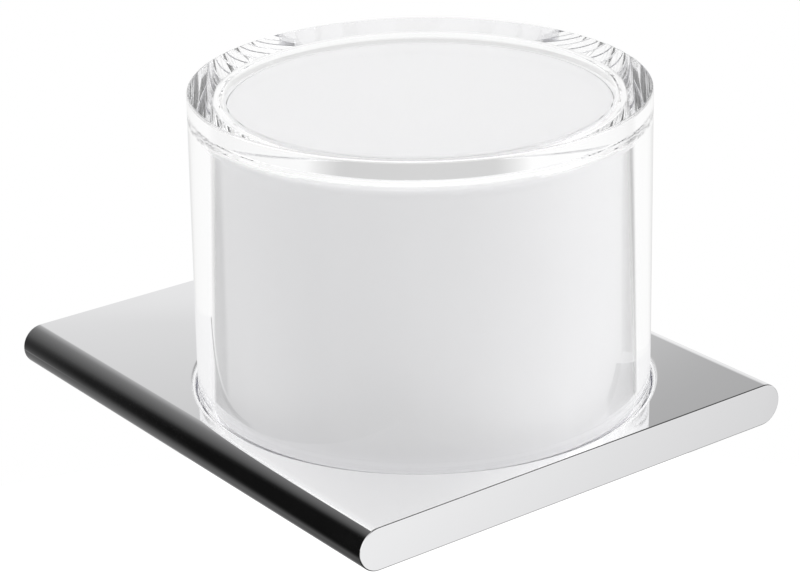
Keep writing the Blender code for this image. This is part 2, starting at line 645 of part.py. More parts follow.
def make_base_and_vent():
    """The base and its air tube.

    The base has a foot that carries the jacket, an upstand in the container and a well for the spring.
    It is plated like the plate, because its foot shows through the jacket's wall.
    """
    upstand_radius = CONTAINER_FOOT_RADIUS - CONTAINER_WALL - FIT_GAP
    upstand_bore_radius = upstand_radius - BASE_UPSTAND_WALL
    foot_radius = POCKET_RADIUS - FOOT_CLEARANCE
    floor_top = FOOT_LOW_HEIGHT + BASE_FLOOR_THICK
    seal_middle = (SHELL_LOW_HEIGHT + BASE_UPSTAND_HEIGHT) / 2
    wall_inside = container_radius(seal_middle) - CONTAINER_WALL
    ring_radius = wall_inside - SNUG_GAP - BASE_SEAL_RADIUS
    groove_radius = ring_radius - BASE_SEAL_RADIUS - SNUG_GAP
    groove_half = BASE_SEAL_RADIUS + SNUG_GAP
    upstand_top_radius = container_radius(BASE_UPSTAND_HEIGHT) - CONTAINER_WALL - FIT_GAP
    well_outer = SPRING_WELL_RADIUS + BASE_FLOOR_THICK
    hole_radius = HOUSING_RADIUS + FIT_GAP
    base = turned("container_base", [
        *plain_corners((hole_radius, CEILING_LOW_HEIGHT), (SPRING_WELL_RADIUS, CEILING_LOW_HEIGHT)),
        (SPRING_WELL_RADIUS, FOOT_LOW_HEIGHT, BASE_EDGE_FILLET),
        *plain_corners((foot_radius, FOOT_LOW_HEIGHT), (foot_radius, FOOT_TOP_HEIGHT),
                       (upstand_radius, FOOT_TOP_HEIGHT), (upstand_radius, seal_middle - groove_half),
                       (groove_radius, seal_middle - groove_half), (groove_radius, seal_middle + groove_half),
                       (upstand_top_radius, seal_middle + groove_half),
                       (upstand_top_radius, BASE_UPSTAND_HEIGHT),
                       (upstand_bore_radius, BASE_UPSTAND_HEIGHT), (upstand_bore_radius, floor_top),
                       (well_outer, floor_top)),
        (well_outer, CEILING_TOP_HEIGHT, BASE_EDGE_FILLET), (hole_radius, CEILING_TOP_HEIGHT, 0),
    ], HIDDEN_SIDES, CHROME, PRESS_UNIT, ring=True)
    vent_hole = prism("vent_hole_cutter", SMALL_SIDES, VENT_RADIUS + FIT_GAP,
                      BASE_FLOOR_THICK + 2 * CUT_OVERRUN,
                      (0, SPRING_MEAN_RADIUS, CEILING_LOW_HEIGHT + BASE_FLOOR_THICK / 2), parent=PRESS_UNIT)
    cut(base, vent_hole)
    seal_ring("base_seal", ring_radius, seal_middle, BASE_SEAL_RADIUS, HIDDEN_SIDES, SILICONE, PRESS_UNIT)
    vent_top = CONTAINER_TOP_HEIGHT - VENT_TOP_ROOM
    tube = turned("vent_tube", plain_corners(
        (VENT_BORE_RADIUS, CEILING_LOW_HEIGHT), (VENT_BORE_RADIUS, vent_top),
        (VENT_RADIUS, vent_top), (VENT_RADIUS, CEILING_LOW_HEIGHT),
    ), SMALL_SIDES // 2, NATURAL, PRESS_UNIT, ring=True)
    tube.location.y = SPRING_MEAN_RADIUS


def make_pump():
    """The pump housing, its gasket, the collar that keeps the piston in, and the inlet valve."""
    chamber_roof = CHAMBER_TOP_HEIGHT + HOUSING_WALL
    gasket_low = CEILING_TOP_HEIGHT + FIT_GAP
    flange_low = gasket_low + HOUSING_GASKET_THICK + FIT_GAP
    flange_top = flange_low + HOUSING_FLANGE_THICK
    flange_radius = HOUSING_RADIUS + HOUSING_FLANGE_REACH
    housing_low = PISTON_LOW_HEIGHT - HOUSING_SKIRT
    housing = turned("pump_housing", [
        (0, chamber_roof, 0), (HOUSING_RADIUS, chamber_roof, PISTON_EDGE_FILLET),
        *plain_corners((HOUSING_RADIUS, flange_top), (flange_radius, flange_top),
                       (flange_radius, flange_low), (HOUSING_RADIUS, flange_low),
                       (HOUSING_RADIUS, housing_low), (CHAMBER_RADIUS, housing_low),
                       (CHAMBER_RADIUS, CHAMBER_TOP_HEIGHT), (0, CHAMBER_TOP_HEIGHT)),
    ], MEDIUM_SIDES, NATURAL, PRESS_UNIT)
    middle = CHAMBER_TOP_HEIGHT + HOUSING_WALL / 2
    port_length = HOUSING_WALL + 2 * CUT_OVERRUN
    for number in range(PORT_COUNT):
        angle = math.tau * number / PORT_COUNT
        port = prism(f"port_cutter_{number + 1}", SMALL_SIDES // 2, PORT_RADIUS, port_length,
                     (PORT_CIRCLE_RADIUS * math.cos(angle), PORT_CIRCLE_RADIUS * math.sin(angle), middle),
                     parent=PRESS_UNIT)
        cut(housing, port)
    cut(housing, prism("valve_hole_cutter", SMALL_SIDES, VALVE_HOLE_RADIUS, port_length, (0, 0, middle),
                       parent=PRESS_UNIT))

    turned("housing_gasket", plain_corners(
        (HOUSING_RADIUS + FIT_GAP, gasket_low), (HOUSING_RADIUS + FIT_GAP, gasket_low + HOUSING_GASKET_THICK),
        (flange_radius, gasket_low + HOUSING_GASKET_THICK), (flange_radius, gasket_low),
    ), MEDIUM_SIDES, RUBBER, PRESS_UNIT, ring=True)

    lip_top = PISTON_LOW_HEIGHT - FIT_GAP
    lip_low = lip_top - COLLAR_LIP_THICK
    groove_floor = housing_low - FIT_GAP
    collar_low = groove_floor - COLLAR_FLOOR_THICK
    web_radius = COLLAR_BORE_RADIUS + COLLAR_WEB
    turned("pump_collar", [
        (STEM_RADIUS + FIT_GAP, lip_low, 0), (STEM_RADIUS + FIT_GAP, lip_top, PISTON_EDGE_FILLET),
        *plain_corners((web_radius, lip_top), (web_radius, groove_floor),
                       (HOUSING_RADIUS + FIT_GAP, groove_floor),
                       (HOUSING_RADIUS + FIT_GAP, CEILING_LOW_HEIGHT - FIT_GAP),
                       (COLLAR_RADIUS, CEILING_LOW_HEIGHT - FIT_GAP)),
        (COLLAR_RADIUS, collar_low, BASE_EDGE_FILLET),
        *plain_corners((COLLAR_BORE_RADIUS, collar_low), (COLLAR_BORE_RADIUS, lip_low)),
    ], MEDIUM_SIDES, NATURAL, PRESS_UNIT, ring=True)

    umbrella_top = CHAMBER_TOP_HEIGHT - FIT_GAP
    bulb_low = chamber_roof + FIT_GAP
    bulb_top = bulb_low + UMBRELLA_BULB_HEIGHT
    turned("inlet_valve", [
        (0, bulb_top, 0), (UMBRELLA_BULB_RADIUS / 2, bulb_top, PISTON_EDGE_FILLET),
        *plain_corners((UMBRELLA_BULB_RADIUS, bulb_low), (UMBRELLA_STEM_RADIUS, bulb_low),
                       (UMBRELLA_STEM_RADIUS, umbrella_top)),
        (UMBRELLA_RADIUS, umbrella_top, 0), (UMBRELLA_RADIUS, umbrella_top - UMBRELLA_THICK / 2, 0),
        (UMBRELLA_STEM_RADIUS, umbrella_top - UMBRELLA_THICK, 0), (0, umbrella_top - UMBRELLA_THICK, 0),
    ], SMALL_SIDES, SILICONE, PRESS_UNIT)


def make_jacket():
    """The thick clear jacket, an upturned cup that stands on the base's foot."""
    cavity_low = CONTAINER_FOOT_RADIUS + JACKET_SIDE_GAP
    cavity_top = CONTAINER_TOP_RADIUS + JACKET_SIDE_GAP
    turned("clear_jacket", [
        (0, JACKET_RISE, 0), (JACKET_TOP_RADIUS, JACKET_RISE, JACKET_RIM_FILLET),
        (JACKET_FOOT_RADIUS, SHELL_LOW_HEIGHT, JACKET_FOOT_FILLET),
        (cavity_low, SHELL_LOW_HEIGHT, JACKET_FOOT_FILLET),
        (cavity_top, ROOF_HEIGHT, JACKET_CORNER_FILLET), (0, ROOF_HEIGHT, 0),
    ], LARGE_SIDES, CLEAR, JACKET)


make_plate()
make_grub_screws()
make_piston()
make_nut_and_washer()
make_nozzle()
make_spring()
make_container()
make_lid()
make_base_and_vent()
make_pump()
make_jacket()
bpy.context.view_layer.update()
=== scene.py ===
# %% [markdown]
# # A wall dispenser for lotion, dressed for its picture
#
# The object is a polished plate that stands out from a wall. A thick clear jacket stands in a round
# pocket of the plate, and a white container shows through it. Pressing the jacket pumps lotion out
# through a nozzle under the plate.
#
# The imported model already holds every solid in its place. This file gives the pieces that show their
# fine form and every piece its finish. Almost all of them were turned on a lathe or moulded round, so
# one idea runs through the lesson: a profile that is carried round an axis. Three looks matter most,
# the mirror of the plate, the clear wall that bends light, and the plain white core behind it.

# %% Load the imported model
import json
import math

import bmesh
import bpy
import numpy as np
from mathutils import Matrix, Vector


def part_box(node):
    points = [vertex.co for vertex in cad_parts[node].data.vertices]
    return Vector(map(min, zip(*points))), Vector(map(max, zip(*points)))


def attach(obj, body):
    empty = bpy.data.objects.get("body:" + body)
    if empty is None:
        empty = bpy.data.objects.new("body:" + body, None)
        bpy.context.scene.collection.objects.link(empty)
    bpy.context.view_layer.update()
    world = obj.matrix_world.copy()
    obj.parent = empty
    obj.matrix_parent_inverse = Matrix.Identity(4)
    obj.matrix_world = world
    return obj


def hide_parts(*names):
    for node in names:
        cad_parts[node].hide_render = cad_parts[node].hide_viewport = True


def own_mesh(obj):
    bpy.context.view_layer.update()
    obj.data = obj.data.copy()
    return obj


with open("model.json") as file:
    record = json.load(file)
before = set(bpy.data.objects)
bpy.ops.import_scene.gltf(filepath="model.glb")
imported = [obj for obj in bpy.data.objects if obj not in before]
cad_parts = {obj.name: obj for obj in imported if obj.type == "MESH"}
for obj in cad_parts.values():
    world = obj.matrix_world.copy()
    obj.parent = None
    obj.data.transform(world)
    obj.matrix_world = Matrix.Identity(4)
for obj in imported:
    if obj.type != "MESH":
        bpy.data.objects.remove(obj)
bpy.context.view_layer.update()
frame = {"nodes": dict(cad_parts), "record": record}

# %% [markdown]
# The pieces keep the sizes of the solids that they stand for. The places that a box can tell are
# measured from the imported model: the axis of the jacket, the top of the plate and its outline. The
# rest is written down once here, in millimetres times `MM`. Heights are counted from the plate's top.

# %% Places measured from the model
MM = 0.001
plate_low, plate_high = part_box("holder_plate")
jacket_low, jacket_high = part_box("clear_jacket")
AXIS_Y = (jacket_low.y + jacket_high.y) / 2
PLATE_TOP = plate_high.z
PLATE_THICK = plate_high.z - plate_low.z
PLATE_WIDTH = plate_high.x - plate_low.x
print(f"The jacket's axis stands {-AXIS_Y / MM:.1f} mm from the wall")

# %% Sizes of the pieces that show
JACKET_TOP_RADIUS = 42.5 * MM
JACKET_FOOT_RADIUS = 43.0 * MM
JACKET_RISE = 57.5 * MM
CAVITY_TOP_RADIUS = 37.85 * MM
CAVITY_FOOT_RADIUS = 39.95 * MM
CAVITY_RISE = 52.6 * MM
SHELL_FOOT = -1.9 * MM

CONTAINER_TOP_RADIUS = 37.3 * MM
CONTAINER_FOOT_RADIUS = 39.4 * MM
CONTAINER_RISE = 50.7 * MM
CONTAINER_WALL = 1.8 * MM
EDGE_FILLET = 1.8 * MM
SEAM_RADIUS = 35.5 * MM

POCKET_RADIUS = 43.35 * MM
RIM_FILLET = 1.05 * MM
POCKET_FLOOR = -6.4 * MM

FINE_EDGE = 0.1 * MM
SMALL_EDGE = 0.2 * MM
SOFT_EDGE = 0.3 * MM

# %% [markdown]
# A profile is a short list of corners, each with the radius of its rounding. Real edges are never
# sharp: even a crisp one on moulded plastic has a few tenths of a millimetre, and that small curve
# is what catches the light. Rounding could be left to a Bevel modifier. Working the arcs out in the
# profile is exact, though, and it keeps long straight stretches free of extra points.
#
# One more thing matters for glass and mirrors. Smooth shading blends the directions of neighbouring
# faces, so a wide flat that meets a small rounding would look bent all over. A second point close to
# each end of a long stretch keeps that blend inside a narrow strip.

# %% Round the corners of a profile
ARC_STEPS = 10
HOLD = 0.05 * MM
TINY = 1e-7


def rounded(corners):
    """Points along a profile whose corners (radius, height, fillet) are rounded.

    At each corner the arc's middle lies on the line that halves the angle, at fillet / sin(half angle).
    The arc runs between the two points at fillet / tan(half angle) along the sides, and its points
    are blended by angle. A fillet of zero gives the same point many times, and repeats are dropped.
    """
    table = np.array(corners, float)
    place, fillet = table[:, :2], table[:, 2:]
    before = np.roll(place, 1, axis=0) - place
    after = np.roll(place, -1, axis=0) - place
    before /= np.maximum(np.linalg.norm(before, axis=1, keepdims=True), TINY)
    after /= np.maximum(np.linalg.norm(after, axis=1, keepdims=True), TINY)
    half = np.arccos(np.clip((before * after).sum(axis=1, keepdims=True), -1, 1)) / 2
    reach = np.where(fillet > 0, fillet / np.tan(half), 0)
    halving = before + after
    halving /= np.maximum(np.linalg.norm(halving, axis=1, keepdims=True), TINY)
    middle = place + halving * np.where(fillet > 0, fillet / np.sin(half), 0)
    start = place + before * reach - middle
    end = place + after * reach - middle
    sweep = (math.pi - 2 * half)[:, :, None]
    share = np.linspace(0, 1, ARC_STEPS + 1)[None, :, None]
    spread = np.where(np.sin(sweep) > TINY, np.sin(sweep), 1)
    arcs = (np.sin((1 - share) * sweep) * start[:, None] + np.sin(share * sweep) * end[:, None]) / spread
    points = (middle[:, None] + arcs).reshape(-1, 2)
    step = np.linalg.norm(points - np.roll(points, 1, axis=0), axis=1)
    return points[step > TINY]


def held(points, closed):
    """The same profile with a second point HOLD away from both ends of every long stretch."""
    ahead = np.roll(points, -1, axis=0)
    length = np.linalg.norm(ahead - points, axis=1, keepdims=True)
    along = (ahead - points) / length
    rows = np.stack([points, points + along * HOLD, ahead - along * HOLD], axis=1)
    keep = np.repeat(length > 4 * HOLD, 3, axis=1)
    keep[:, 0] = True
    if not closed:
        keep[-1, 1:] = False
    return rows[keep]


# %% [markdown]
# A turned piece carries its profile round the axis. Written as a formula it is a function of two
# parameters, the angle and the place along the profile. Numpy works out all of its points at once.
# A ring's profile closes on itself, and that of a full piece starts and ends on the axis, where the
# points of all angles fall together and are merged.

# %% Turn a profile into a mesh
TURN_STEPS = 240
SHARP = math.radians(30)


def grid_faces(rows, columns, closed):
    """The four corners of each face of a grid whose rows go round and whose columns may close too."""
    row, column = np.meshgrid(np.arange(rows), np.arange(columns if closed else columns - 1), indexing="ij")
    next_row, next_column = (row + 1) % rows, (column + 1) % columns
    corners = (row * columns + column, next_row * columns + column,
               next_row * columns + next_column, row * columns + next_column)
    return np.stack(corners, axis=-1).reshape(-1, 4)


def new_piece(name, points, faces, sharp=SHARP):
    """An object from points and faces: doubles merged, faces pointing outwards, edges past an angle sharp."""
    mesh = bpy.data.meshes.new(name)
    mesh.from_pydata(points.reshape(-1, 3).tolist(), [], faces.tolist())
    shape = bmesh.new()
    shape.from_mesh(mesh)
    bmesh.ops.remove_doubles(shape, verts=shape.verts, dist=TINY)
    bmesh.ops.dissolve_degenerate(shape, edges=shape.edges, dist=TINY)
    bmesh.ops.recalc_face_normals(shape, faces=shape.faces)
    shape.to_mesh(mesh)
    shape.free()
    mesh.shade_smooth()
    mesh.set_sharp_from_angle(angle=sharp)
    piece = bpy.data.objects.new(name, mesh)
    bpy.context.scene.collection.objects.link(piece)
    return piece


def turned(name, corners, ring=False, steps=TURN_STEPS, offset=(0, 0)):
    """A turned piece on the jacket's axis.

    For angle a and profile point (r, h), the place is (r cos a, axis + r sin a, top of plate + h).
    """
    profile = rounded(corners)
    if not ring:
        start = np.argmin(profile[:, 0] + (np.roll(profile[:, 0], 1) > TINY))
        profile = np.roll(profile, -start, axis=0)
    profile = held(profile, ring)
    angle = np.linspace(0, math.tau, steps, endpoint=False)[:, None]
    radius, height = profile[None, :, 0], profile[None, :, 1]
    x = offset[0] + radius * np.cos(angle)
    y = AXIS_Y + offset[1] + radius * np.sin(angle)
    z = PLATE_TOP + height + 0 * angle
    return new_piece(name, np.stack([x, y, z], axis=-1), grid_faces(steps, len(profile), ring))


# %% [markdown]
# Each finish is one Principled shader whose colour, gloss and fine relief come from noise in the
# object's own coordinates. The pattern then stays on the piece when it moves, and needs no pictures.
# The helpers below place the nodes that every finish shares.

# %% Helpers for the finishes
def new_finish(name, colour, **sockets):
    """A material with one Principled shader. Numbers that are the same all over go on its sockets."""
    made = bpy.data.materials.new(name)
    made.use_nodes = True
    shader = made.node_tree.nodes["Principled BSDF"]
    shader.inputs["Base Color"].default_value = (*colour, 1)
    for socket, value in sockets.items():
        shader.inputs[socket.replace("_", " ")].default_value = value
    return made, made.node_tree, shader


def noise(tree, size, detail=3.0, stretch=(1, 1, 1)):
    """Noise whose spots are about size across, stretched along an axis where its number is above 1."""
    coordinates = tree.nodes.new("ShaderNodeTexCoord")
    mapping = tree.nodes.new("ShaderNodeMapping")
    mapping.inputs["Scale"].default_value = [1 / (size * long) for long in stretch]
    texture = tree.nodes.new("ShaderNodeTexNoise")
    texture.inputs["Scale"].default_value = 1
    texture.inputs["Detail"].default_value = detail
    tree.links.new(coordinates.outputs["Object"], mapping.inputs["Vector"])
    tree.links.new(mapping.outputs["Vector"], texture.inputs["Vector"])
    return texture.outputs["Fac"]


NOISE_LOW = 0.3
NOISE_HIGH = 0.7


def spread_to(tree, value, low, high, target):
    """Map a noise, which seldom leaves the range above, onto a range of numbers and link it to a socket."""
    spread = tree.nodes.new("ShaderNodeMapRange")
    spread.inputs["From Min"].default_value = NOISE_LOW
    spread.inputs["From Max"].default_value = NOISE_HIGH
    spread.inputs["To Min"].default_value = low
    spread.inputs["To Max"].default_value = high
    tree.links.new(value, spread.inputs["Value"])
    tree.links.new(spread.outputs["Result"], target)


def tint(tree, value, colours, target):
    """Blend between two colours by a noise and link the result to a colour socket."""
    blend = tree.nodes.new("ShaderNodeMix")
    blend.data_type = "RGBA"
    blend.inputs["A"].default_value = (*colours[0], 1)
    blend.inputs["B"].default_value = (*colours[1], 1)
    tree.links.new(value, blend.inputs["Factor"])
    tree.links.new(blend.outputs["Result"], target)


def calculated(tree, operation, first, second=None, clamp=False):
    """One Math node. Numbers go on its sockets and outputs are linked."""
    node = tree.nodes.new("ShaderNodeMath")
    node.operation = operation
    node.use_clamp = clamp
    for index, value in enumerate((first, second)):
        if isinstance(value, (int, float)):
            node.inputs[index].default_value = value
        elif value is not None:
            tree.links.new(value, node.inputs[index])
    return node.outputs[0]


def relief(tree, shader, value, depth):
    """Raise and sink the surface by a noise, by about depth."""
    bump = tree.nodes.new("ShaderNodeBump")
    bump.inputs["Strength"].default_value = 1
    bump.inputs["Distance"].default_value = depth
    tree.links.new(value, bump.inputs["Height"])
    tree.links.new(bump.outputs["Normal"], shader.inputs["Normal"])


# %% [markdown]
# The jacket is thick clear acrylic, polished inside and out. Acrylic bends light by 1.49, a little
# less than window glass. Hardly anything on it is visible by itself: the look comes from the form of
# both its walls, so the finish only adds the faintest haze of handling and a trace of waviness.

# %% Clear acrylic
def acrylic():
    made, tree, shader = new_finish("clear_acrylic", (1, 1, 1), Transmission_Weight=1, IOR=1.49)
    spread_to(tree, noise(tree, 14 * MM), 0.0, 0.012, shader.inputs["Roughness"])
    relief(tree, shader, noise(tree, 30 * MM, detail=0.0), 0.002 * MM)
    return made


CLEAR = acrylic()

# %% [markdown]
# The plate is polished metal with a bright plating. A mirror is all reflection, so its detail is
# faint: gloss that varies a little where it has been wiped, and an unevenness too small to feel.

# %% Polished plating
def plating():
    made, tree, shader = new_finish("polished_plating", (0.93, 0.93, 0.94), Metallic=1)
    tint(tree, noise(tree, 40 * MM), ((0.92, 0.92, 0.93), (0.94, 0.94, 0.95)), shader.inputs["Base Color"])
    spread_to(tree, noise(tree, 9 * MM), 0.015, 0.04, shader.inputs["Roughness"])
    relief(tree, shader, noise(tree, 25 * MM, detail=1.0), 0.001 * MM)
    return made


MIRROR = plating()

# %% [markdown]
# The container and its lid are moulded from white plastic. Such a moulding has a soft sheen from the
# finely sparked steel of its mould, and the white is never perfectly even.
#
# The white also carries painted light. For rays that a mirror has turned, the container's colour is
# painted brighter than white. The plate in front of the jacket then shows it almost white, lighter than
# a plain mirror image of the container would be. Light Path tells these rays from the others by the
# number of glossy turns behind them.

# %% White moulded plastic, with painted light for its mirror image
# Painted light: the container's colour for rays that a mirror has turned, brighter than white.
PAINTED_MIRROR_LIGHT = 1.12


def painted_light_rays(tree):
    """One for rays that a mirror has turned before they meet their first dull surface, else zero. These rays
    get the painted light.
    """
    rays = tree.nodes.new("ShaderNodeLightPath")
    by_mirror = calculated(tree, "GREATER_THAN", rays.outputs["Glossy Depth"], 0.5)
    not_yet_dull = calculated(tree, "LESS_THAN", rays.outputs["Diffuse Depth"], 0.5)
    return calculated(tree, "MULTIPLY", by_mirror, not_yet_dull)


def white_moulding():
    made, tree, shader = new_finish("white_moulding", (0.86, 0.86, 0.87), Specular_IOR_Level=0.2)
    tint(tree, noise(tree, 25 * MM), ((0.85, 0.85, 0.86), (0.87, 0.87, 0.88)), shader.inputs["Base Color"])
    spread_to(tree, noise(tree, 6 * MM), 0.32, 0.42, shader.inputs["Roughness"])
    relief(tree, shader, noise(tree, 0.4 * MM, detail=1.0), 0.002 * MM)
    # Painted reflection light: for mirror-turned rays, the plain white is swapped for the brighter painted
    # white.
    plain = shader.inputs["Base Color"].links[0].from_socket
    painted_light = tree.nodes.new("ShaderNodeMix")
    painted_light.data_type = "RGBA"
    painted_light.inputs["B"].default_value = (*[PAINTED_MIRROR_LIGHT] * 3, 1)
    tree.links.new(plain, painted_light.inputs["A"])
    tree.links.new(painted_light_rays(tree), painted_light.inputs["Factor"])
    tree.links.new(painted_light.outputs["Result"], shader.inputs["Base Color"])
    return made


WHITE = white_moulding()

# %% [markdown]
# The small parts under the plate and inside the pump have plainer finishes: turned stainless steel
# with fine lines round its axis, pump parts of milky acetal, black rubber gaskets and pale silicone.

# %% Turned stainless steel
def turned_steel():
    made, tree, shader = new_finish("turned_steel", (0.62, 0.62, 0.63), Metallic=1)
    lines = noise(tree, 0.12 * MM, stretch=(40, 40, 1))
    spread_to(tree, lines, 0.22, 0.36, shader.inputs["Roughness"])
    tint(tree, noise(tree, 3 * MM), ((0.58, 0.58, 0.59), (0.66, 0.66, 0.67)), shader.inputs["Base Color"])
    relief(tree, shader, lines, 0.002 * MM)
    return made


STEEL = turned_steel()


# %% Milky acetal
def acetal():
    made, tree, shader = new_finish("milky_acetal", (0.82, 0.81, 0.77))
    tint(tree, noise(tree, 8 * MM), ((0.80, 0.79, 0.75), (0.84, 0.83, 0.79)), shader.inputs["Base Color"])
    spread_to(tree, noise(tree, 2 * MM), 0.36, 0.5, shader.inputs["Roughness"])
    relief(tree, shader, noise(tree, 0.5 * MM), 0.004 * MM)
    return made


NATURAL = acetal()


# %% Black rubber and pale silicone
def soft_rubber(name, dark, pale, gloss):
    made, tree, shader = new_finish(name, pale)
    tint(tree, noise(tree, 4 * MM), (dark, pale), shader.inputs["Base Color"])
    spread_to(tree, noise(tree, 1 * MM), gloss, gloss + 0.15, shader.inputs["Roughness"])
    relief(tree, shader, noise(tree, 0.2 * MM), 0.006 * MM)
    return made


RUBBER = soft_rubber("black_rubber", (0.07, 0.07, 0.07), (0.10, 0.10, 0.10), 0.55)
SILICONE = soft_rubber("pale_silicone", (0.68, 0.70, 0.71), (0.74, 0.76, 0.77), 0.42)

# %% [markdown]
# The record names a finish for every solid. Solids that stay as they are packed get the new material
# in their own slots. That covers the pump, its seals and the screws.

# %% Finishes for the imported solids
FINISHES = {
    "chrome_plate": MIRROR, "stainless_steel": STEEL, "natural_plastic": NATURAL,
    "white_plastic": WHITE, "seal_rubber": RUBBER, "silicone": SILICONE, "clear_acrylic": CLEAR,
}
slot_of_node = {part["node"]: part["material_slot"] for part in frame["record"]["subparts"]}
for node, solid in frame["nodes"].items():
    solid.data.materials.clear()
    solid.data.materials.append(FINISHES[slot_of_node[node]])
print("Finished", len(slot_of_node), "packed solids")


def stands_for(piece, node, body):
    """Finish a new piece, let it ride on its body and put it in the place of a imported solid."""
    slot = slot_of_node[node]
    piece.data.materials.append(FINISHES[slot])
    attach(piece, body)
    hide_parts(node)
    print(piece.name, "has", len(piece.data.polygons), "faces")


# %% [markdown]
# The jacket is an upturned cup. Its outer wall leans in by half a millimetre on the way up and its
# cavity by two, as the draft of a mould asks. The roof inside ends in a wide soft corner. That corner
# and the short rounding of the top edge draw the bright and dark lines that run round the jacket.

# %% The clear jacket
TOP_EDGE_FILLET = 0.5 * MM
CAVITY_FILLET = 2.3 * MM
jacket = turned("jacket_clear", [
    (0, JACKET_RISE, 0),
    (JACKET_TOP_RADIUS, JACKET_RISE, TOP_EDGE_FILLET),
    (JACKET_FOOT_RADIUS, SHELL_FOOT, SOFT_EDGE),
    (CAVITY_FOOT_RADIUS, SHELL_FOOT, SOFT_EDGE),
    (CAVITY_TOP_RADIUS, CAVITY_RISE, CAVITY_FILLET),
    (0, CAVITY_RISE, 0),
])
stands_for(jacket, "clear_jacket", "jacket")

# %% [markdown]
# The container is a tapered tube with a rounded shoulder. A ledge and a neck at its top take the lid,
# whose flat top closes flush and leaves a fine round seam. Below, a plated base closes the tube. Its
# thin foot reaches out under the jacket and carries it, so the clear wall stands on a mirror. That
# mirror sends the light that runs down the wall back up again.

# %% The white container
LEDGE = 48.8 * MM
NECK_RADIUS = 33.2 * MM
NECK_LOW = 44.8 * MM


def wall_inside(height):
    """The radius inside the tapered wall: a straight blend of foot and top radius, less the wall."""
    share = (height - SHELL_FOOT) / (CONTAINER_RISE - SHELL_FOOT)
    return CONTAINER_FOOT_RADIUS + (CONTAINER_TOP_RADIUS - CONTAINER_FOOT_RADIUS) * share - CONTAINER_WALL


slope_low = NECK_LOW - (wall_inside(NECK_LOW) - NECK_RADIUS)
container = turned("container_shell", [
    (CONTAINER_FOOT_RADIUS, SHELL_FOOT, SOFT_EDGE),
    (CONTAINER_TOP_RADIUS, CONTAINER_RISE, EDGE_FILLET),
    (SEAM_RADIUS, CONTAINER_RISE, FINE_EDGE),
    (SEAM_RADIUS, LEDGE, 0),
    (NECK_RADIUS, LEDGE, SOFT_EDGE),
    (NECK_RADIUS, NECK_LOW, SOFT_EDGE),
    (wall_inside(slope_low), slope_low, 0),
    (wall_inside(SHELL_FOOT), SHELL_FOOT, 0),
], ring=True)
stands_for(container, "container", "press_unit")

# %% The lid of the container
LID_RADIUS = 35.3 * MM
LID_LOW = 49.1 * MM
SKIRT_RADIUS = 32.9 * MM
SKIRT_BORE_RADIUS = 30.8 * MM
SKIRT_LOW = 45.3 * MM
GROOVE_RADIUS = 31.7 * MM
GROOVE_MIDDLE = 47.2 * MM
GROOVE_HALF = 0.75 * MM
LID_FILLET = 0.15 * MM
lid = turned("lid_flush", [
    (0, CONTAINER_RISE, 0),
    (LID_RADIUS, CONTAINER_RISE, LID_FILLET),
    (LID_RADIUS, LID_LOW, 0),
    (SKIRT_RADIUS, LID_LOW, 0),
    (SKIRT_RADIUS, GROOVE_MIDDLE + GROOVE_HALF, 0),
    (GROOVE_RADIUS, GROOVE_MIDDLE + GROOVE_HALF, 0),
    (GROOVE_RADIUS, GROOVE_MIDDLE - GROOVE_HALF, 0),
    (SKIRT_RADIUS, GROOVE_MIDDLE - GROOVE_HALF, 0),
    (SKIRT_RADIUS, SKIRT_LOW, SMALL_EDGE),
    (SKIRT_BORE_RADIUS, SKIRT_LOW, SMALL_EDGE),
    (SKIRT_BORE_RADIUS, LID_LOW, 0),
    (0, LID_LOW, 0),
])
stands_for(lid, "container_lid", "press_unit")

# %% The base of the container
FOOT_RADIUS = 42.8 * MM
FOOT_LOW = -3.1 * MM
FOOT_TOP = -2.2 * MM
BASE_FLOOR = -1.6 * MM
UPSTAND_RADIUS = 37.3 * MM
UPSTAND_TOP_RADIUS = 37.1 * MM
UPSTAND_BORE_RADIUS = 34.9 * MM
UPSTAND_TOP = 3.0 * MM
SEAL_GROOVE_RADIUS = 36.0 * MM
WELL_RADIUS = 25.0 * MM
WELL_OUTER_RADIUS = 26.5 * MM
CEILING_LOW = 3.0 * MM
CEILING_TOP = 4.5 * MM
PUMP_HOLE_RADIUS = 15.9 * MM
SEAL_MIDDLE = (SHELL_FOOT + UPSTAND_TOP) / 2
SEAL_HALF = 0.8 * MM
base = turned("base_foot", [
    (PUMP_HOLE_RADIUS, CEILING_LOW, 0),
    (WELL_RADIUS, CEILING_LOW, SOFT_EDGE),
    (WELL_RADIUS, FOOT_LOW, SOFT_EDGE),
    (FOOT_RADIUS, FOOT_LOW, SMALL_EDGE),
    (FOOT_RADIUS, FOOT_TOP, SMALL_EDGE),
    (UPSTAND_RADIUS, FOOT_TOP, 0),
    (UPSTAND_RADIUS, SEAL_MIDDLE - SEAL_HALF, 0),
    (SEAL_GROOVE_RADIUS, SEAL_MIDDLE - SEAL_HALF, 0),
    (SEAL_GROOVE_RADIUS, SEAL_MIDDLE + SEAL_HALF, 0),
    (UPSTAND_TOP_RADIUS, SEAL_MIDDLE + SEAL_HALF, 0),
    (UPSTAND_TOP_RADIUS, UPSTAND_TOP, SMALL_EDGE),
    (UPSTAND_BORE_RADIUS, UPSTAND_TOP, SMALL_EDGE),
    (UPSTAND_BORE_RADIUS, BASE_FLOOR, SOFT_EDGE),
    (WELL_OUTER_RADIUS, BASE_FLOOR, SOFT_EDGE),
    (WELL_OUTER_RADIUS, CEILING_TOP, SOFT_EDGE),
    (PUMP_HOLE_RADIUS, CEILING_TOP, 0),
], ring=True)
stands_for(base, "container_base", "press_unit")

# %% [markdown]
# The plate starts as a bar with half-round long edges. As a function of two parameters it is the
# outline of a stadium carried from the front to the wall, drawn in by a small inset where it nears
# both ends, which breaks their edges. The ends close where the inset has reached the middle line.

# %% A bar with round long edges
EDGE_STEPS = 24
BREAK_STEPS = 5


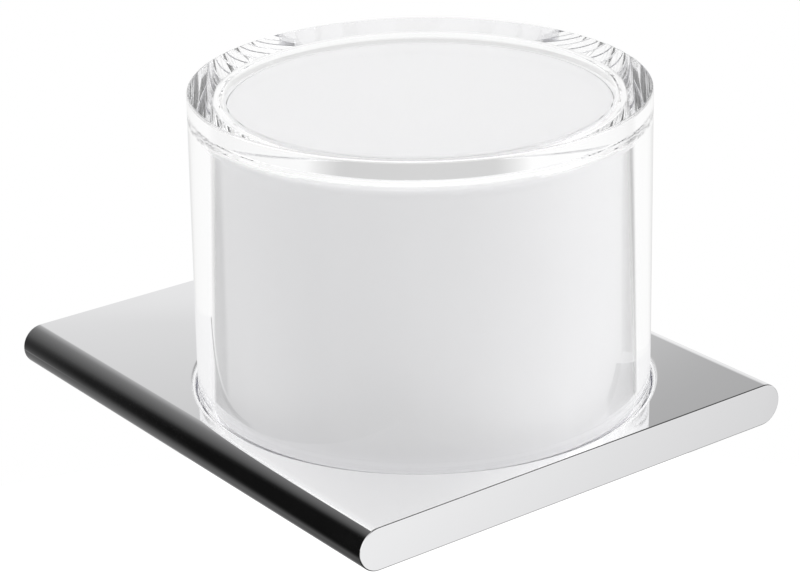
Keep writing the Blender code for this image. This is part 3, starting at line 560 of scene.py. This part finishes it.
def round_edged_bar(name, width, thick, front, back, edge_break, edge_steps=EDGE_STEPS):
    """The outline's points are (side (width / 2 - thick / 2 + r cos a), r sin a).

    Here r = thick / 2 - inset. Along the bar the inset follows a quarter circle at each end, and at the
    very ends it is thick / 2.
    """
    turn = np.linspace(-math.pi / 2, math.pi / 2, edge_steps + 1)
    side = np.repeat([1, -1], edge_steps + 1)
    across_turn = np.concatenate([turn, turn])
    swing = np.linspace(0, math.pi / 2, BREAK_STEPS + 1)
    draw_in = edge_break * (1 - np.sin(swing))
    run_in = edge_break * (1 - np.cos(swing))
    inset = np.concatenate([[thick / 2], draw_in, draw_in[::-1], [thick / 2]])
    along = np.concatenate([[front], front + run_in, (back - run_in)[::-1], [back]])
    radius = (thick / 2 - inset)[:, None]
    x = side * (width / 2 - thick / 2 + radius * np.cos(across_turn))
    z = side * radius * np.sin(across_turn)
    y = along[:, None] + 0 * x
    points = np.stack([x, y, z], axis=-1)
    stations, round_points = x.shape
    station, place = np.meshgrid(np.arange(stations - 1), np.arange(round_points), indexing="ij")
    after = (place + 1) % round_points
    corners = (station * round_points + place, station * round_points + after,
               (station + 1) * round_points + after, (station + 1) * round_points + place)
    return new_piece(name, points, np.stack(corners, axis=-1).reshape(-1, 4))


def cut_from(piece, cutters):
    """Cut pieces out of another with Booleans, keep the result as a plain mesh and remove the cutters."""
    for cutter in cutters:
        boolean = piece.modifiers.new("cut " + cutter.name, "BOOLEAN")
        boolean.operation = "DIFFERENCE"
        boolean.solver = "EXACT"
        boolean.object = cutter
    ready = piece.evaluated_get(bpy.context.evaluated_depsgraph_get())
    result = bpy.data.meshes.new_from_object(ready)
    piece.modifiers.clear()
    piece.data = result
    result.name = piece.name
    for cutter in cutters:
        bpy.data.objects.remove(cutter)
    result.shade_smooth()
    result.set_sharp_from_angle(angle=SHARP)


# %% [markdown]
# The pocket, the hole for the pump's stem, two slots for the wall bracket and two screw holes are cut
# out of the bar, as a mill would cut them. Flats beside a curve keep their own direction through a
# Weighted Normal modifier, so that the mirror of the top stays flat up to the pocket's rim.

# %% The plate
STEM_HOLE_RADIUS = 6.8 * MM
SLOT_WIDTH = 12.4 * MM
SLOT_HEIGHT = 5.2 * MM
SLOT_DEPTH = 15.0 * MM
SLOT_SIDE = 28.0 * MM
SCREW_HOLE_RADIUS = 1.7 * MM
SCREW_SETBACK = 8.5 * MM
OVERRUN = 2.0 * MM
PLATE_EDGE_BREAK = 0.25 * MM
RIM_STEPS = 12
HOLE_TURN_STEPS = 96

plate = round_edged_bar("plate_polished", PLATE_WIDTH, PLATE_THICK, plate_low.y, plate_high.y,
                        PLATE_EDGE_BREAK)
rim_turn = np.linspace(0, math.pi / 2, RIM_STEPS + 1)
rim = [(POCKET_RADIUS + RIM_FILLET * (1 - math.sin(turn)), RIM_FILLET * (math.cos(turn) - 1), 0)
       for turn in rim_turn]
pocket = turned("pocket", [(0, OVERRUN, 0), (POCKET_RADIUS + RIM_FILLET, OVERRUN, 0), *rim,
                           (POCKET_RADIUS, POCKET_FLOOR, SOFT_EDGE), (0, POCKET_FLOOR, 0)])
stem_hole = turned("stem_hole", [(0, 0, 0), (STEM_HOLE_RADIUS, 0, 0),
                                 (STEM_HOLE_RADIUS, -PLATE_THICK - OVERRUN, 0),
                                 (0, -PLATE_THICK - OVERRUN, 0)], steps=HOLE_TURN_STEPS)
slots = []
screw_holes = []
for side in (-1, 1):
    slot = round_edged_bar("slot", SLOT_WIDTH, SLOT_HEIGHT, -SLOT_DEPTH, OVERRUN, FINE_EDGE)
    slot.data.transform(Matrix.Translation((side * SLOT_SIDE, 0, 0)))
    slots.append(slot)
    middle = -PLATE_THICK / 2
    screw_holes.append(turned("screw_hole", [
        (0, middle, 0), (SCREW_HOLE_RADIUS, middle, 0),
        (SCREW_HOLE_RADIUS, -PLATE_THICK - OVERRUN, 0), (0, -PLATE_THICK - OVERRUN, 0),
    ], steps=HOLE_TURN_STEPS // 2, offset=(side * SLOT_SIDE, -AXIS_Y - SCREW_SETBACK)))
cut_from(plate, [pocket, stem_hole, *slots, *screw_holes])
weighted = plate.modifiers.new("flat mirror", "WEIGHTED_NORMAL")
weighted.keep_sharp = True
stands_for(plate, "holder_plate", "holder")

# %% [markdown]
# Under the plate a washer and a hexagon nut clamp the stem of the pump. A nut is turned before its
# flats are milled, so its corners carry the trace of a cone. Its radius at each angle and height is
# the smaller of two: that of the hexagon and that of the cone.

# %% Washer and nut
THREAD_RADIUS = 6.8 * MM
WASHER_RADIUS = 10.5 * MM
WASHER_TOP = -8.5 * MM
WASHER_LOW = -9.5 * MM
WASHER_FILLET = 0.15 * MM
SMALL_TURN_STEPS = 144
washer = turned("washer_turned", [
    (THREAD_RADIUS, WASHER_TOP, FINE_EDGE), (WASHER_RADIUS, WASHER_TOP, WASHER_FILLET),
    (WASHER_RADIUS, WASHER_LOW, WASHER_FILLET), (THREAD_RADIUS, WASHER_LOW, FINE_EDGE),
], ring=True, steps=SMALL_TURN_STEPS)
stands_for(washer, "stem_washer", "holder")

NUT_TOP = -9.8 * MM
NUT_LOW = -12.8 * MM
NUT_FLATS = 19.0 * MM
NUT_STEPS = 180
FACE_STEPS = 24
CONE_START_SHARE = 0.97
CONE_SLOPE = 1.7
NUT_SHARP = math.radians(25)


def nut(name):
    """Radius = the smaller of flats / 2 / cos(angle from the middle of a flat) and the cone's.

    The cone starts at a share of half the flats on both end faces and widens with the height gained.
    """
    swing = np.linspace(-1, 1, FACE_STEPS) * math.pi / 2
    level = (NUT_LOW + NUT_TOP) / 2 + (NUT_TOP - NUT_LOW) / 2 * np.sin(swing)
    end_distance = np.minimum(level - NUT_LOW, NUT_TOP - level)
    cone = CONE_START_SHARE * NUT_FLATS / 2 + CONE_SLOPE * end_distance
    angle = np.linspace(0, math.tau, NUT_STEPS, endpoint=False)[:, None]
    from_flat = (angle + math.pi / 6) % (math.pi / 3) - math.pi / 6
    outside = np.minimum(NUT_FLATS / 2 / np.cos(from_flat), cone[None, :])
    bore = np.broadcast_to(THREAD_RADIUS, (NUT_STEPS, 2))
    radius = np.concatenate([outside, bore], axis=1)
    height = np.concatenate([level, [NUT_TOP, NUT_LOW]])[None, :] + 0 * angle
    points = np.stack([radius * np.cos(angle), AXIS_Y + radius * np.sin(angle), PLATE_TOP + height], axis=-1)
    return new_piece(name, points, grid_faces(NUT_STEPS, radius.shape[1], True), sharp=NUT_SHARP)


hexagon_nut = nut("nut_hexagon")
stands_for(hexagon_nut, "stem_nut", "holder")

# %% [markdown]
# The return spring is hidden between the pocket and the base.

# %% Return spring
SPRING_TURNS = 3.5
SPRING_RADIUS = 21.8 * MM
WIRE_RADIUS = 0.6 * MM
SPRING_GAP = 0.3 * MM
WIRE_STEPS = 24
WINDING_STEPS = 168


def wound_spring(name):
    """The wire's middle is (r cos a, axis + r sin a, low + rise a / whole angle), with r the coil's radius.

    Each ring of points lies round that middle, in the plane across the wire. The first and the last
    ring shrink to the middle, which closes the wire's ends.
    """
    low = PLATE_TOP + POCKET_FLOOR + SPRING_GAP + WIRE_RADIUS
    rise = PLATE_TOP + CEILING_LOW - SPRING_GAP - WIRE_RADIUS - low
    share = np.linspace(0, 1, WINDING_STEPS + 1)
    share = np.concatenate([share[:1], share, share[-1:]])
    angle = math.tau * SPRING_TURNS * share
    outward = np.stack([np.cos(angle), np.sin(angle), 0 * angle], axis=-1)
    middle = SPRING_RADIUS * outward + np.stack([0 * angle, AXIS_Y + 0 * angle, low + rise * share], axis=-1)
    along = np.stack([-np.sin(angle), np.cos(angle),
                      0 * angle + rise / (math.tau * SPRING_TURNS * SPRING_RADIUS)], axis=-1)
    along /= np.linalg.norm(along, axis=1, keepdims=True)
    across = np.cross(outward, along)
    size = np.full(len(share), WIRE_RADIUS)
    size[[0, -1]] = 0
    turn = np.linspace(0, math.tau, WIRE_STEPS, endpoint=False)[:, None, None]
    points = middle + size[None, :, None] * (np.cos(turn) * outward + np.sin(turn) * across)
    return new_piece(name, points, grid_faces(WIRE_STEPS, len(share), False))


spring = wound_spring("spring_wound")
stands_for(spring, "return_spring", "holder")
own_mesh(spring)

# %% [markdown]
# The nozzle is a small plated cap that narrows to its mouth. A silicone valve closes the mouth: its
# floor has one straight slit, which opens when the pump presses lotion against it.

# %% Nozzle and slit valve
NOZZLE_TOP = -13.4 * MM
NOZZLE_SHOULDER = -17.4 * MM
NOZZLE_TIP = -19.6 * MM
MOUTH_RADIUS = 2.9 * MM
NOZZLE_RADIUS = 7.5 * MM
NOZZLE_TIP_RADIUS = 5.5 * MM
NOZZLE_BORE_RADIUS = 4.5 * MM
NOZZLE_TOP_FILLET = 0.25 * MM
NOZZLE_FILLET = 0.8 * MM
nozzle = turned("nozzle_plated", [
    (NOZZLE_BORE_RADIUS, NOZZLE_TOP, FINE_EDGE), (NOZZLE_RADIUS, NOZZLE_TOP, NOZZLE_TOP_FILLET),
    (NOZZLE_RADIUS, NOZZLE_SHOULDER, NOZZLE_FILLET), (NOZZLE_TIP_RADIUS, NOZZLE_TIP, NOZZLE_FILLET),
    (MOUTH_RADIUS, NOZZLE_TIP, SMALL_EDGE), (MOUTH_RADIUS, NOZZLE_SHOULDER, 0),
    (NOZZLE_BORE_RADIUS, NOZZLE_SHOULDER, 0),
], ring=True, steps=SMALL_TURN_STEPS)
stands_for(nozzle, "outlet_nozzle", "holder")

valve_low, valve_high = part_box("outlet_valve")
VALVE_TOP = valve_high.z - PLATE_TOP
VALVE_LOW = valve_low.z - PLATE_TOP
VALVE_WALL = 0.9 * MM
VALVE_TIP_FILLET = 0.85 * MM
TUBE_RADIUS = 2.6 * MM
FLANGE_RADIUS = 4.2 * MM
FLANGE_THICK = 0.8 * MM
SLIT_LENGTH = 2.8 * MM
SLIT_WIDTH = 0.3 * MM
SLIT_THICK = 0.2 * MM
SLIT_EDGE = 0.02 * MM
SLIT_STRETCH = 12
SLIT_EDGE_STEPS = 4
valve = turned("valve_slit", [
    (0, VALVE_LOW + VALVE_WALL, 0), (TUBE_RADIUS - VALVE_WALL, VALVE_LOW + VALVE_WALL, SMALL_EDGE),
    (TUBE_RADIUS - VALVE_WALL, VALVE_TOP, FINE_EDGE), (FLANGE_RADIUS, VALVE_TOP, FINE_EDGE),
    (FLANGE_RADIUS, VALVE_TOP - FLANGE_THICK, FINE_EDGE), (TUBE_RADIUS, VALVE_TOP - FLANGE_THICK, 0),
    (TUBE_RADIUS, VALVE_LOW, VALVE_TIP_FILLET), (0, VALVE_LOW, 0),
], steps=HOLE_TURN_STEPS)
slit = round_edged_bar("slit", SLIT_WIDTH, SLIT_THICK, -SLIT_LENGTH / 2, SLIT_LENGTH / 2, SLIT_EDGE,
                       edge_steps=SLIT_EDGE_STEPS)
slit.data.transform(Matrix.Diagonal((1, 1, SLIT_STRETCH, 1)))
slit.data.transform(Matrix.Translation((0, AXIS_Y, PLATE_TOP + VALVE_LOW)))
cut_from(valve, [slit])
stands_for(valve, "outlet_valve", "holder")

# %% [markdown]
# The picture was taken in a bright studio, from the front left and a little above. The camera below
# comes from matching the plate's corners and the jacket's outline. Its long lens keeps the lines
# of the plate almost parallel.

# %% Camera
TURN = 0.6457
TILT = 0.3926
ROLL = -0.0179
LENS = 117.19
SENSOR_WIDTH = 36
NEAREST = 10 * MM
EYE = Vector((-275.98, -426.11, 207.85)) * MM

forward = Vector((math.sin(TURN) * math.cos(TILT), math.cos(TURN) * math.cos(TILT), -math.sin(TILT)))
level_right = forward.cross(Vector((0, 0, 1))).normalized()
level_up = level_right.cross(forward)
right = level_right * math.cos(ROLL) + level_up * math.sin(ROLL)
up = level_up * math.cos(ROLL) - level_right * math.sin(ROLL)
camera = bpy.data.objects.new("camera", bpy.data.cameras.new("camera"))
camera.matrix_world = Matrix.Translation(EYE) @ Matrix((right, up, -forward)).transposed().to_4x4()
camera.data.sensor_width = SENSOR_WIDTH
camera.data.lens = LENS
camera.data.clip_start = NEAREST
bpy.context.scene.collection.objects.link(camera)
bpy.context.scene.camera = camera

# %% [markdown]
# A mirror and a clear wall show the studio as much as themselves, so the studio has a form. It is
# painted on the world by direction, in several versions, and Light Path tells which ray sees which:
#
# - The camera sees plain white.
# - The mirror sees a white backdrop that fades to black on the left. That turns the plate's left edge
#   dark and gives its top a soft change from light to grey. Light that mirrors have turned more than
#   once comes from the narrow pocket, and finds the studio lighter.
# - The clear wall sees white with a few dark cards, which draw the dark lines along its edges.
# - A dull surface gets an even soft light, a little stronger from above and from the right.
#
# Most shades are ramps over one number, the cosine of the angle between a ray and a direction. It is 1
# when the ray points straight there. Directions are given as a compass angle, which starts at the wall
# and turns to the right, and as a height in degrees.

# %% Helpers for the studio
world = bpy.data.worlds.new("studio")
bpy.context.scene.world = world
world.use_nodes = True
sky = world.node_tree
sky.nodes.clear()
direction = sky.nodes.new("ShaderNodeTexCoord").outputs["Generated"]
parts = sky.nodes.new("ShaderNodeSeparateXYZ")
sky.links.new(direction, parts.inputs[0])
path = sky.nodes.new("ShaderNodeLightPath")


def product(*values):
    """All the values multiplied."""
    result = values[0]
    for value in values[1:]:
        result = calculated(sky, "MULTIPLY", result, value)
    return result


def shades(value, low, high, stops):
    """A grey that runs through stops (place, brightness), whose places lie between low and high."""
    node = sky.nodes.new("ShaderNodeValToRGB")
    from_low = calculated(sky, "SUBTRACT", value, low)
    sky.links.new(calculated(sky, "DIVIDE", from_low, high - low), node.inputs[0])
    elements = node.color_ramp.elements
    while len(elements) > 1:
        elements.remove(elements[-1])
    elements[0].position = (stops[0][0] - low) / (high - low)
    elements[0].color = (*[stops[0][1]] * 3, 1)
    for place, brightness in stops[1:]:
        elements.new((place - low) / (high - low)).color = (*[brightness] * 3, 1)
    return node.outputs[0]


def blended(factor, first, second):
    """A colour mix of two outputs."""
    node = sky.nodes.new("ShaderNodeMix")
    node.data_type = "RGBA"
    sky.links.new(factor, node.inputs["Factor"])
    sky.links.new(first, node.inputs["A"])
    sky.links.new(second, node.inputs["B"])
    return node.outputs["Result"]


def towards(azimuth, elevation):
    """The cosine of the angle between a ray and a direction."""
    turn, rise = math.radians(azimuth), math.radians(elevation)
    node = sky.nodes.new("ShaderNodeVectorMath")
    node.operation = "DOT_PRODUCT"
    node.inputs[1].default_value = (math.sin(turn) * math.cos(rise), math.cos(turn) * math.cos(rise),
                                    math.sin(rise))
    sky.links.new(direction, node.inputs[0])
    return node.outputs["Value"]


def card(azimuth, elevation, edge, full, brightness):
    """White with a round card of some brightness. Its edge starts at one cosine and is full at another."""
    return shades(towards(azimuth, elevation), 0, 1, [(edge, 1), (full, brightness)])


def only_where(condition, shade):
    """The shade where the condition is one, and white where it is zero."""
    return calculated(sky, "MAXIMUM", shade, calculated(sky, "SUBTRACT", 1, condition))


# %% What the mirror sees behind the object
FADE_TOWARDS = (30, 0)
FADE = [(0.35, 0.006), (0.39, 0.015), (0.43, 0.045), (0.48, 0.085), (0.54, 0.115), (0.60, 0.14), (0.67, 0.17),
        (0.74, 0.21), (0.80, 0.29), (0.86, 0.39), (0.885, 0.46), (0.905, 0.64), (0.92, 0.75), (0.93, 0.82),
        (0.96, 0.95)]
PANEL_HEIGHTS = [(-0.5, 0), (-0.41, 0.85), (0.38, 0.85), (0.47, 0)]
PANEL_SIDES = [(-0.45, 0), (-0.25, 1), (0.5, 1), (0.6, 0)]
RIGHT_LAMP_TOWARDS = (68, -18)
RIGHT_LAMP = [(0.90, 0), (0.955, 0.90)]
fading = shades(towards(*FADE_TOWARDS), 0, 1, FADE)
panel = product(shades(parts.outputs["Z"], -1, 1, PANEL_HEIGHTS),
                shades(parts.outputs["X"], -1, 1, PANEL_SIDES))
right_lamp = shades(towards(*RIGHT_LAMP_TOWARDS), 0, 1, RIGHT_LAMP)
backdrop = calculated(sky, "MAXIMUM", calculated(sky, "MAXIMUM", fading, panel), right_lamp)

# %% What the mirror sees in front of the object
FRONT_LOW = [(-1, 0.94), (-0.71, 0.89), (-0.63, 0.73), (-0.4, 0.47), (0, 0.2)]
FRONT_HIGH = [(-0.5, 0.9), (-0.2, 0.6), (0.2, 0.12), (1, 0.1)]
FRONT_SEAM = [(0.1, 0), (0.25, 1)]
WHITE_BAND = [(-0.2, 0), (-0.1, 1), (0.1, 1), (0.2, 0)]
BEHIND_TO_FRONT = [(-0.15, 1), (0.05, 0)]
DARK_BELOW = [(-0.78, 0.1), (-0.62, 1)]
DEEP_LIGHT = 0.9
front_low = shades(parts.outputs["Y"], -1, 0, FRONT_LOW)
front_high = shades(parts.outputs["X"], -1, 1, FRONT_HIGH)
front = blended(shades(parts.outputs["Z"], -1, 1, FRONT_SEAM), front_low, front_high)
front = calculated(sky, "MAXIMUM", front, shades(parts.outputs["Z"], -1, 1, WHITE_BAND))
mirror_view = blended(shades(parts.outputs["Y"], -1, 1, BEHIND_TO_FRONT), backdrop, front)
mirror_view = product(mirror_view, shades(parts.outputs["Z"], -1, 1, DARK_BELOW))
more_turns = calculated(sky, "GREATER_THAN", path.outputs["Glossy Depth"], 1.5)
mirror_view = calculated(sky, "MAXIMUM", mirror_view, product(more_turns, DEEP_LIGHT))

# %% [markdown]
# Each card is a direction, the cosines where its edge starts and where it is full, and a brightness.
# Three kinds of light leave the clear wall. Light that was turned once at the wall's inner face draws
# the two upright edges of the core, where low cards darken it. Light that then also meets the plate
# goes up again and sees two darker cards, which deepen these edges near the foot. Light that ran round
# the thick rim was turned many times. Two cards high at the sides make the dark ends of the rim.

# %% What the clear wall sees
LOW_LEFT = (-16, -21, 0.991, 0.9945, 0.3)
LOW_RIGHT = (88, -21, 0.988, 0.993, 0.5)
RIM_LEFT = (-93, 27, 0.91, 0.96, 0.02)
RIM_FRONT = (163, 26, 0.91, 0.96, 0.02)
GREY_BELOW = (38, -24, 0.951, 0.978, 0.64)
HIGH_LEFT = (-26, 22, 0.955, 0.972, 0.02)
HIGH_RIGHT = (95, 22, 0.965, 0.978, 0.1)
one_turn = calculated(sky, "LESS_THAN", path.outputs["Glossy Depth"], 1.5)
many_turns = calculated(sky, "GREATER_THAN", path.outputs["Glossy Depth"], 3.5)
low_sides = product(card(*LOW_LEFT), card(*LOW_RIGHT))
rim_ends = product(card(*RIM_LEFT), card(*RIM_FRONT))
clear_view = product(only_where(one_turn, low_sides), only_where(many_turns, rim_ends), card(*GREY_BELOW))
beyond_view = product(card(*HIGH_LEFT), card(*HIGH_RIGHT))

# %% Soft light for dull surfaces
BRIGHTER_SIDE = (127, 0)
SOFT_LIGHT = 0.64
FROM_RIGHT = 0.09
FROM_SIDES = 0.48
FROM_ABOVE = 0.2
MIRRORED_SHARE = 0.6
rightward = towards(*BRIGHTER_SIDE)
soft = calculated(sky, "ADD", product(rightward, FROM_RIGHT), SOFT_LIGHT)
soft = calculated(sky, "ADD", product(rightward, rightward, FROM_SIDES), soft)
soft = calculated(sky, "ADD", product(parts.outputs["Z"], FROM_ABOVE), soft)

# %% [markdown]
# The conditions come from Light Path. Cycles calls a ray through clear plastic glossy as well, so a
# mirror ray is one that is glossy and not transmitted. A ray that has met a dull surface brings light
# to it, and always gets the soft light. That light is weaker when it comes by way of the plate, as the
# plate mirrors the dark parts of the studio too.

# %% Each ray its own view
by_mirror = calculated(sky, "SUBTRACT", path.outputs["Is Glossy Ray"], path.outputs["Is Transmission Ray"],
                       clamp=True)
passed_wall = calculated(sky, "GREATER_THAN", path.outputs["Transmission Depth"], 0.5)
not_dull = calculated(sky, "LESS_THAN", path.outputs["Diffuse Depth"], 0.5)
white = sky.nodes.new("ShaderNodeRGB")
white.outputs[0].default_value = (1, 1, 1, 1)

light = blended(by_mirror, soft, product(soft, MIRRORED_SHARE))
light = blended(product(by_mirror, not_dull), light, mirror_view)
light = blended(product(by_mirror, passed_wall, not_dull), light, beyond_view)
light = blended(product(path.outputs["Is Transmission Ray"], not_dull), light, clear_view)
seen = blended(path.outputs["Is Camera Ray"], light, white.outputs[0])
background = sky.nodes.new("ShaderNodeBackground")
sky.links.new(seen, background.inputs["Color"])
output = sky.nodes.new("ShaderNodeOutputWorld")
sky.links.new(background.outputs[0], output.inputs["Surface"])
print("The studio is painted with", len(sky.nodes), "nodes")

# %% [markdown]
# The object hangs on a wall, so nothing stands under it. A pale floor well below keeps a soft shadow
# for views from above. Rays from the camera and the clear wall get a little light of its own from it,
# so that it meets the white background without an edge. The mirror has its own view of the studio,
# and doesn't see the floor.

# %% Floor
FLOOR_DEPTH = 180 * MM
FLOOR_RADIUS = 350 * MM
FLOOR_STEPS = 96
FLOOR_GLOW = 0.4
FLOOR_COLOUR = (0.8, 0.8, 0.8, 1)
floor_angle = np.linspace(0, math.tau, FLOOR_STEPS, endpoint=False)
floor_points = np.stack([FLOOR_RADIUS * np.cos(floor_angle), AXIS_Y + FLOOR_RADIUS * np.sin(floor_angle),
                         0 * floor_angle - FLOOR_DEPTH], axis=-1)
floor_mesh = bpy.data.meshes.new("floor")
floor_mesh.from_pydata(floor_points.tolist(), [], [list(range(FLOOR_STEPS))])
floor = bpy.data.objects.new("floor", floor_mesh)
bpy.context.scene.collection.objects.link(floor)
floor.visible_glossy = False

pale = bpy.data.materials.new("pale_floor")
pale.use_nodes = True
tree = pale.node_tree
tree.nodes.clear()
dull = tree.nodes.new("ShaderNodeBsdfDiffuse")
dull.inputs["Color"].default_value = FLOOR_COLOUR
glow = tree.nodes.new("ShaderNodeEmission")
glow.inputs["Strength"].default_value = FLOOR_GLOW
rays = tree.nodes.new("ShaderNodeLightPath")
any_view = calculated(tree, "ADD", rays.outputs["Is Camera Ray"], rays.outputs["Is Transmission Ray"])
any_view = calculated(tree, "ADD", any_view, rays.outputs["Is Glossy Ray"], clamp=True)
tree.links.new(any_view, glow.inputs["Color"])
both = tree.nodes.new("ShaderNodeAddShader")
tree.links.new(dull.outputs[0], both.inputs[0])
tree.links.new(glow.outputs[0], both.inputs[1])
floor_output = tree.nodes.new("ShaderNodeOutputMaterial")
tree.links.new(both.outputs[0], floor_output.inputs["Surface"])
floor_mesh.materials.append(pale)

# %% Lamp
LAMP_PLACE = Vector((750, -550, 750)) * MM
LAMP_SIZE = 600 * MM
LAMP_POWER = 2.0
LAMP_AIM = Vector((0, AXIS_Y, 30 * MM))
lamp = bpy.data.objects.new("soft_lamp", bpy.data.lights.new("soft_lamp", "AREA"))
lamp.data.shape = "DISK"
lamp.data.size = LAMP_SIZE
lamp.data.energy = LAMP_POWER
lamp.visible_glossy = False
lamp.location = LAMP_PLACE
lamp.rotation_euler = (LAMP_AIM - LAMP_PLACE).to_track_quat("-Z", "Y").to_euler()
bpy.context.scene.collection.objects.link(lamp)
print("The lamp hangs", round(LAMP_PLACE.length / MM), "mm away")

# %% [markdown]
# Light that enters the thick wall from above runs down it like water in a pipe, bounces from side to
# side a dozen times and comes out again. So it needs many bounces. Cycles also blurs sharp gloss after
# a dull bounce to lessen grain, which would leak that light through the wall, so this is switched off.

# %% Long light paths and plain colours
MOST_BOUNCES = 64
MOST_OF_ONE_KIND = 60
light_paths = bpy.context.scene.cycles
light_paths.max_bounces = MOST_BOUNCES
light_paths.glossy_bounces = MOST_OF_ONE_KIND
light_paths.transmission_bounces = MOST_OF_ONE_KIND
light_paths.blur_glossy = 0
bpy.context.scene.view_settings.view_transform = "Standard"
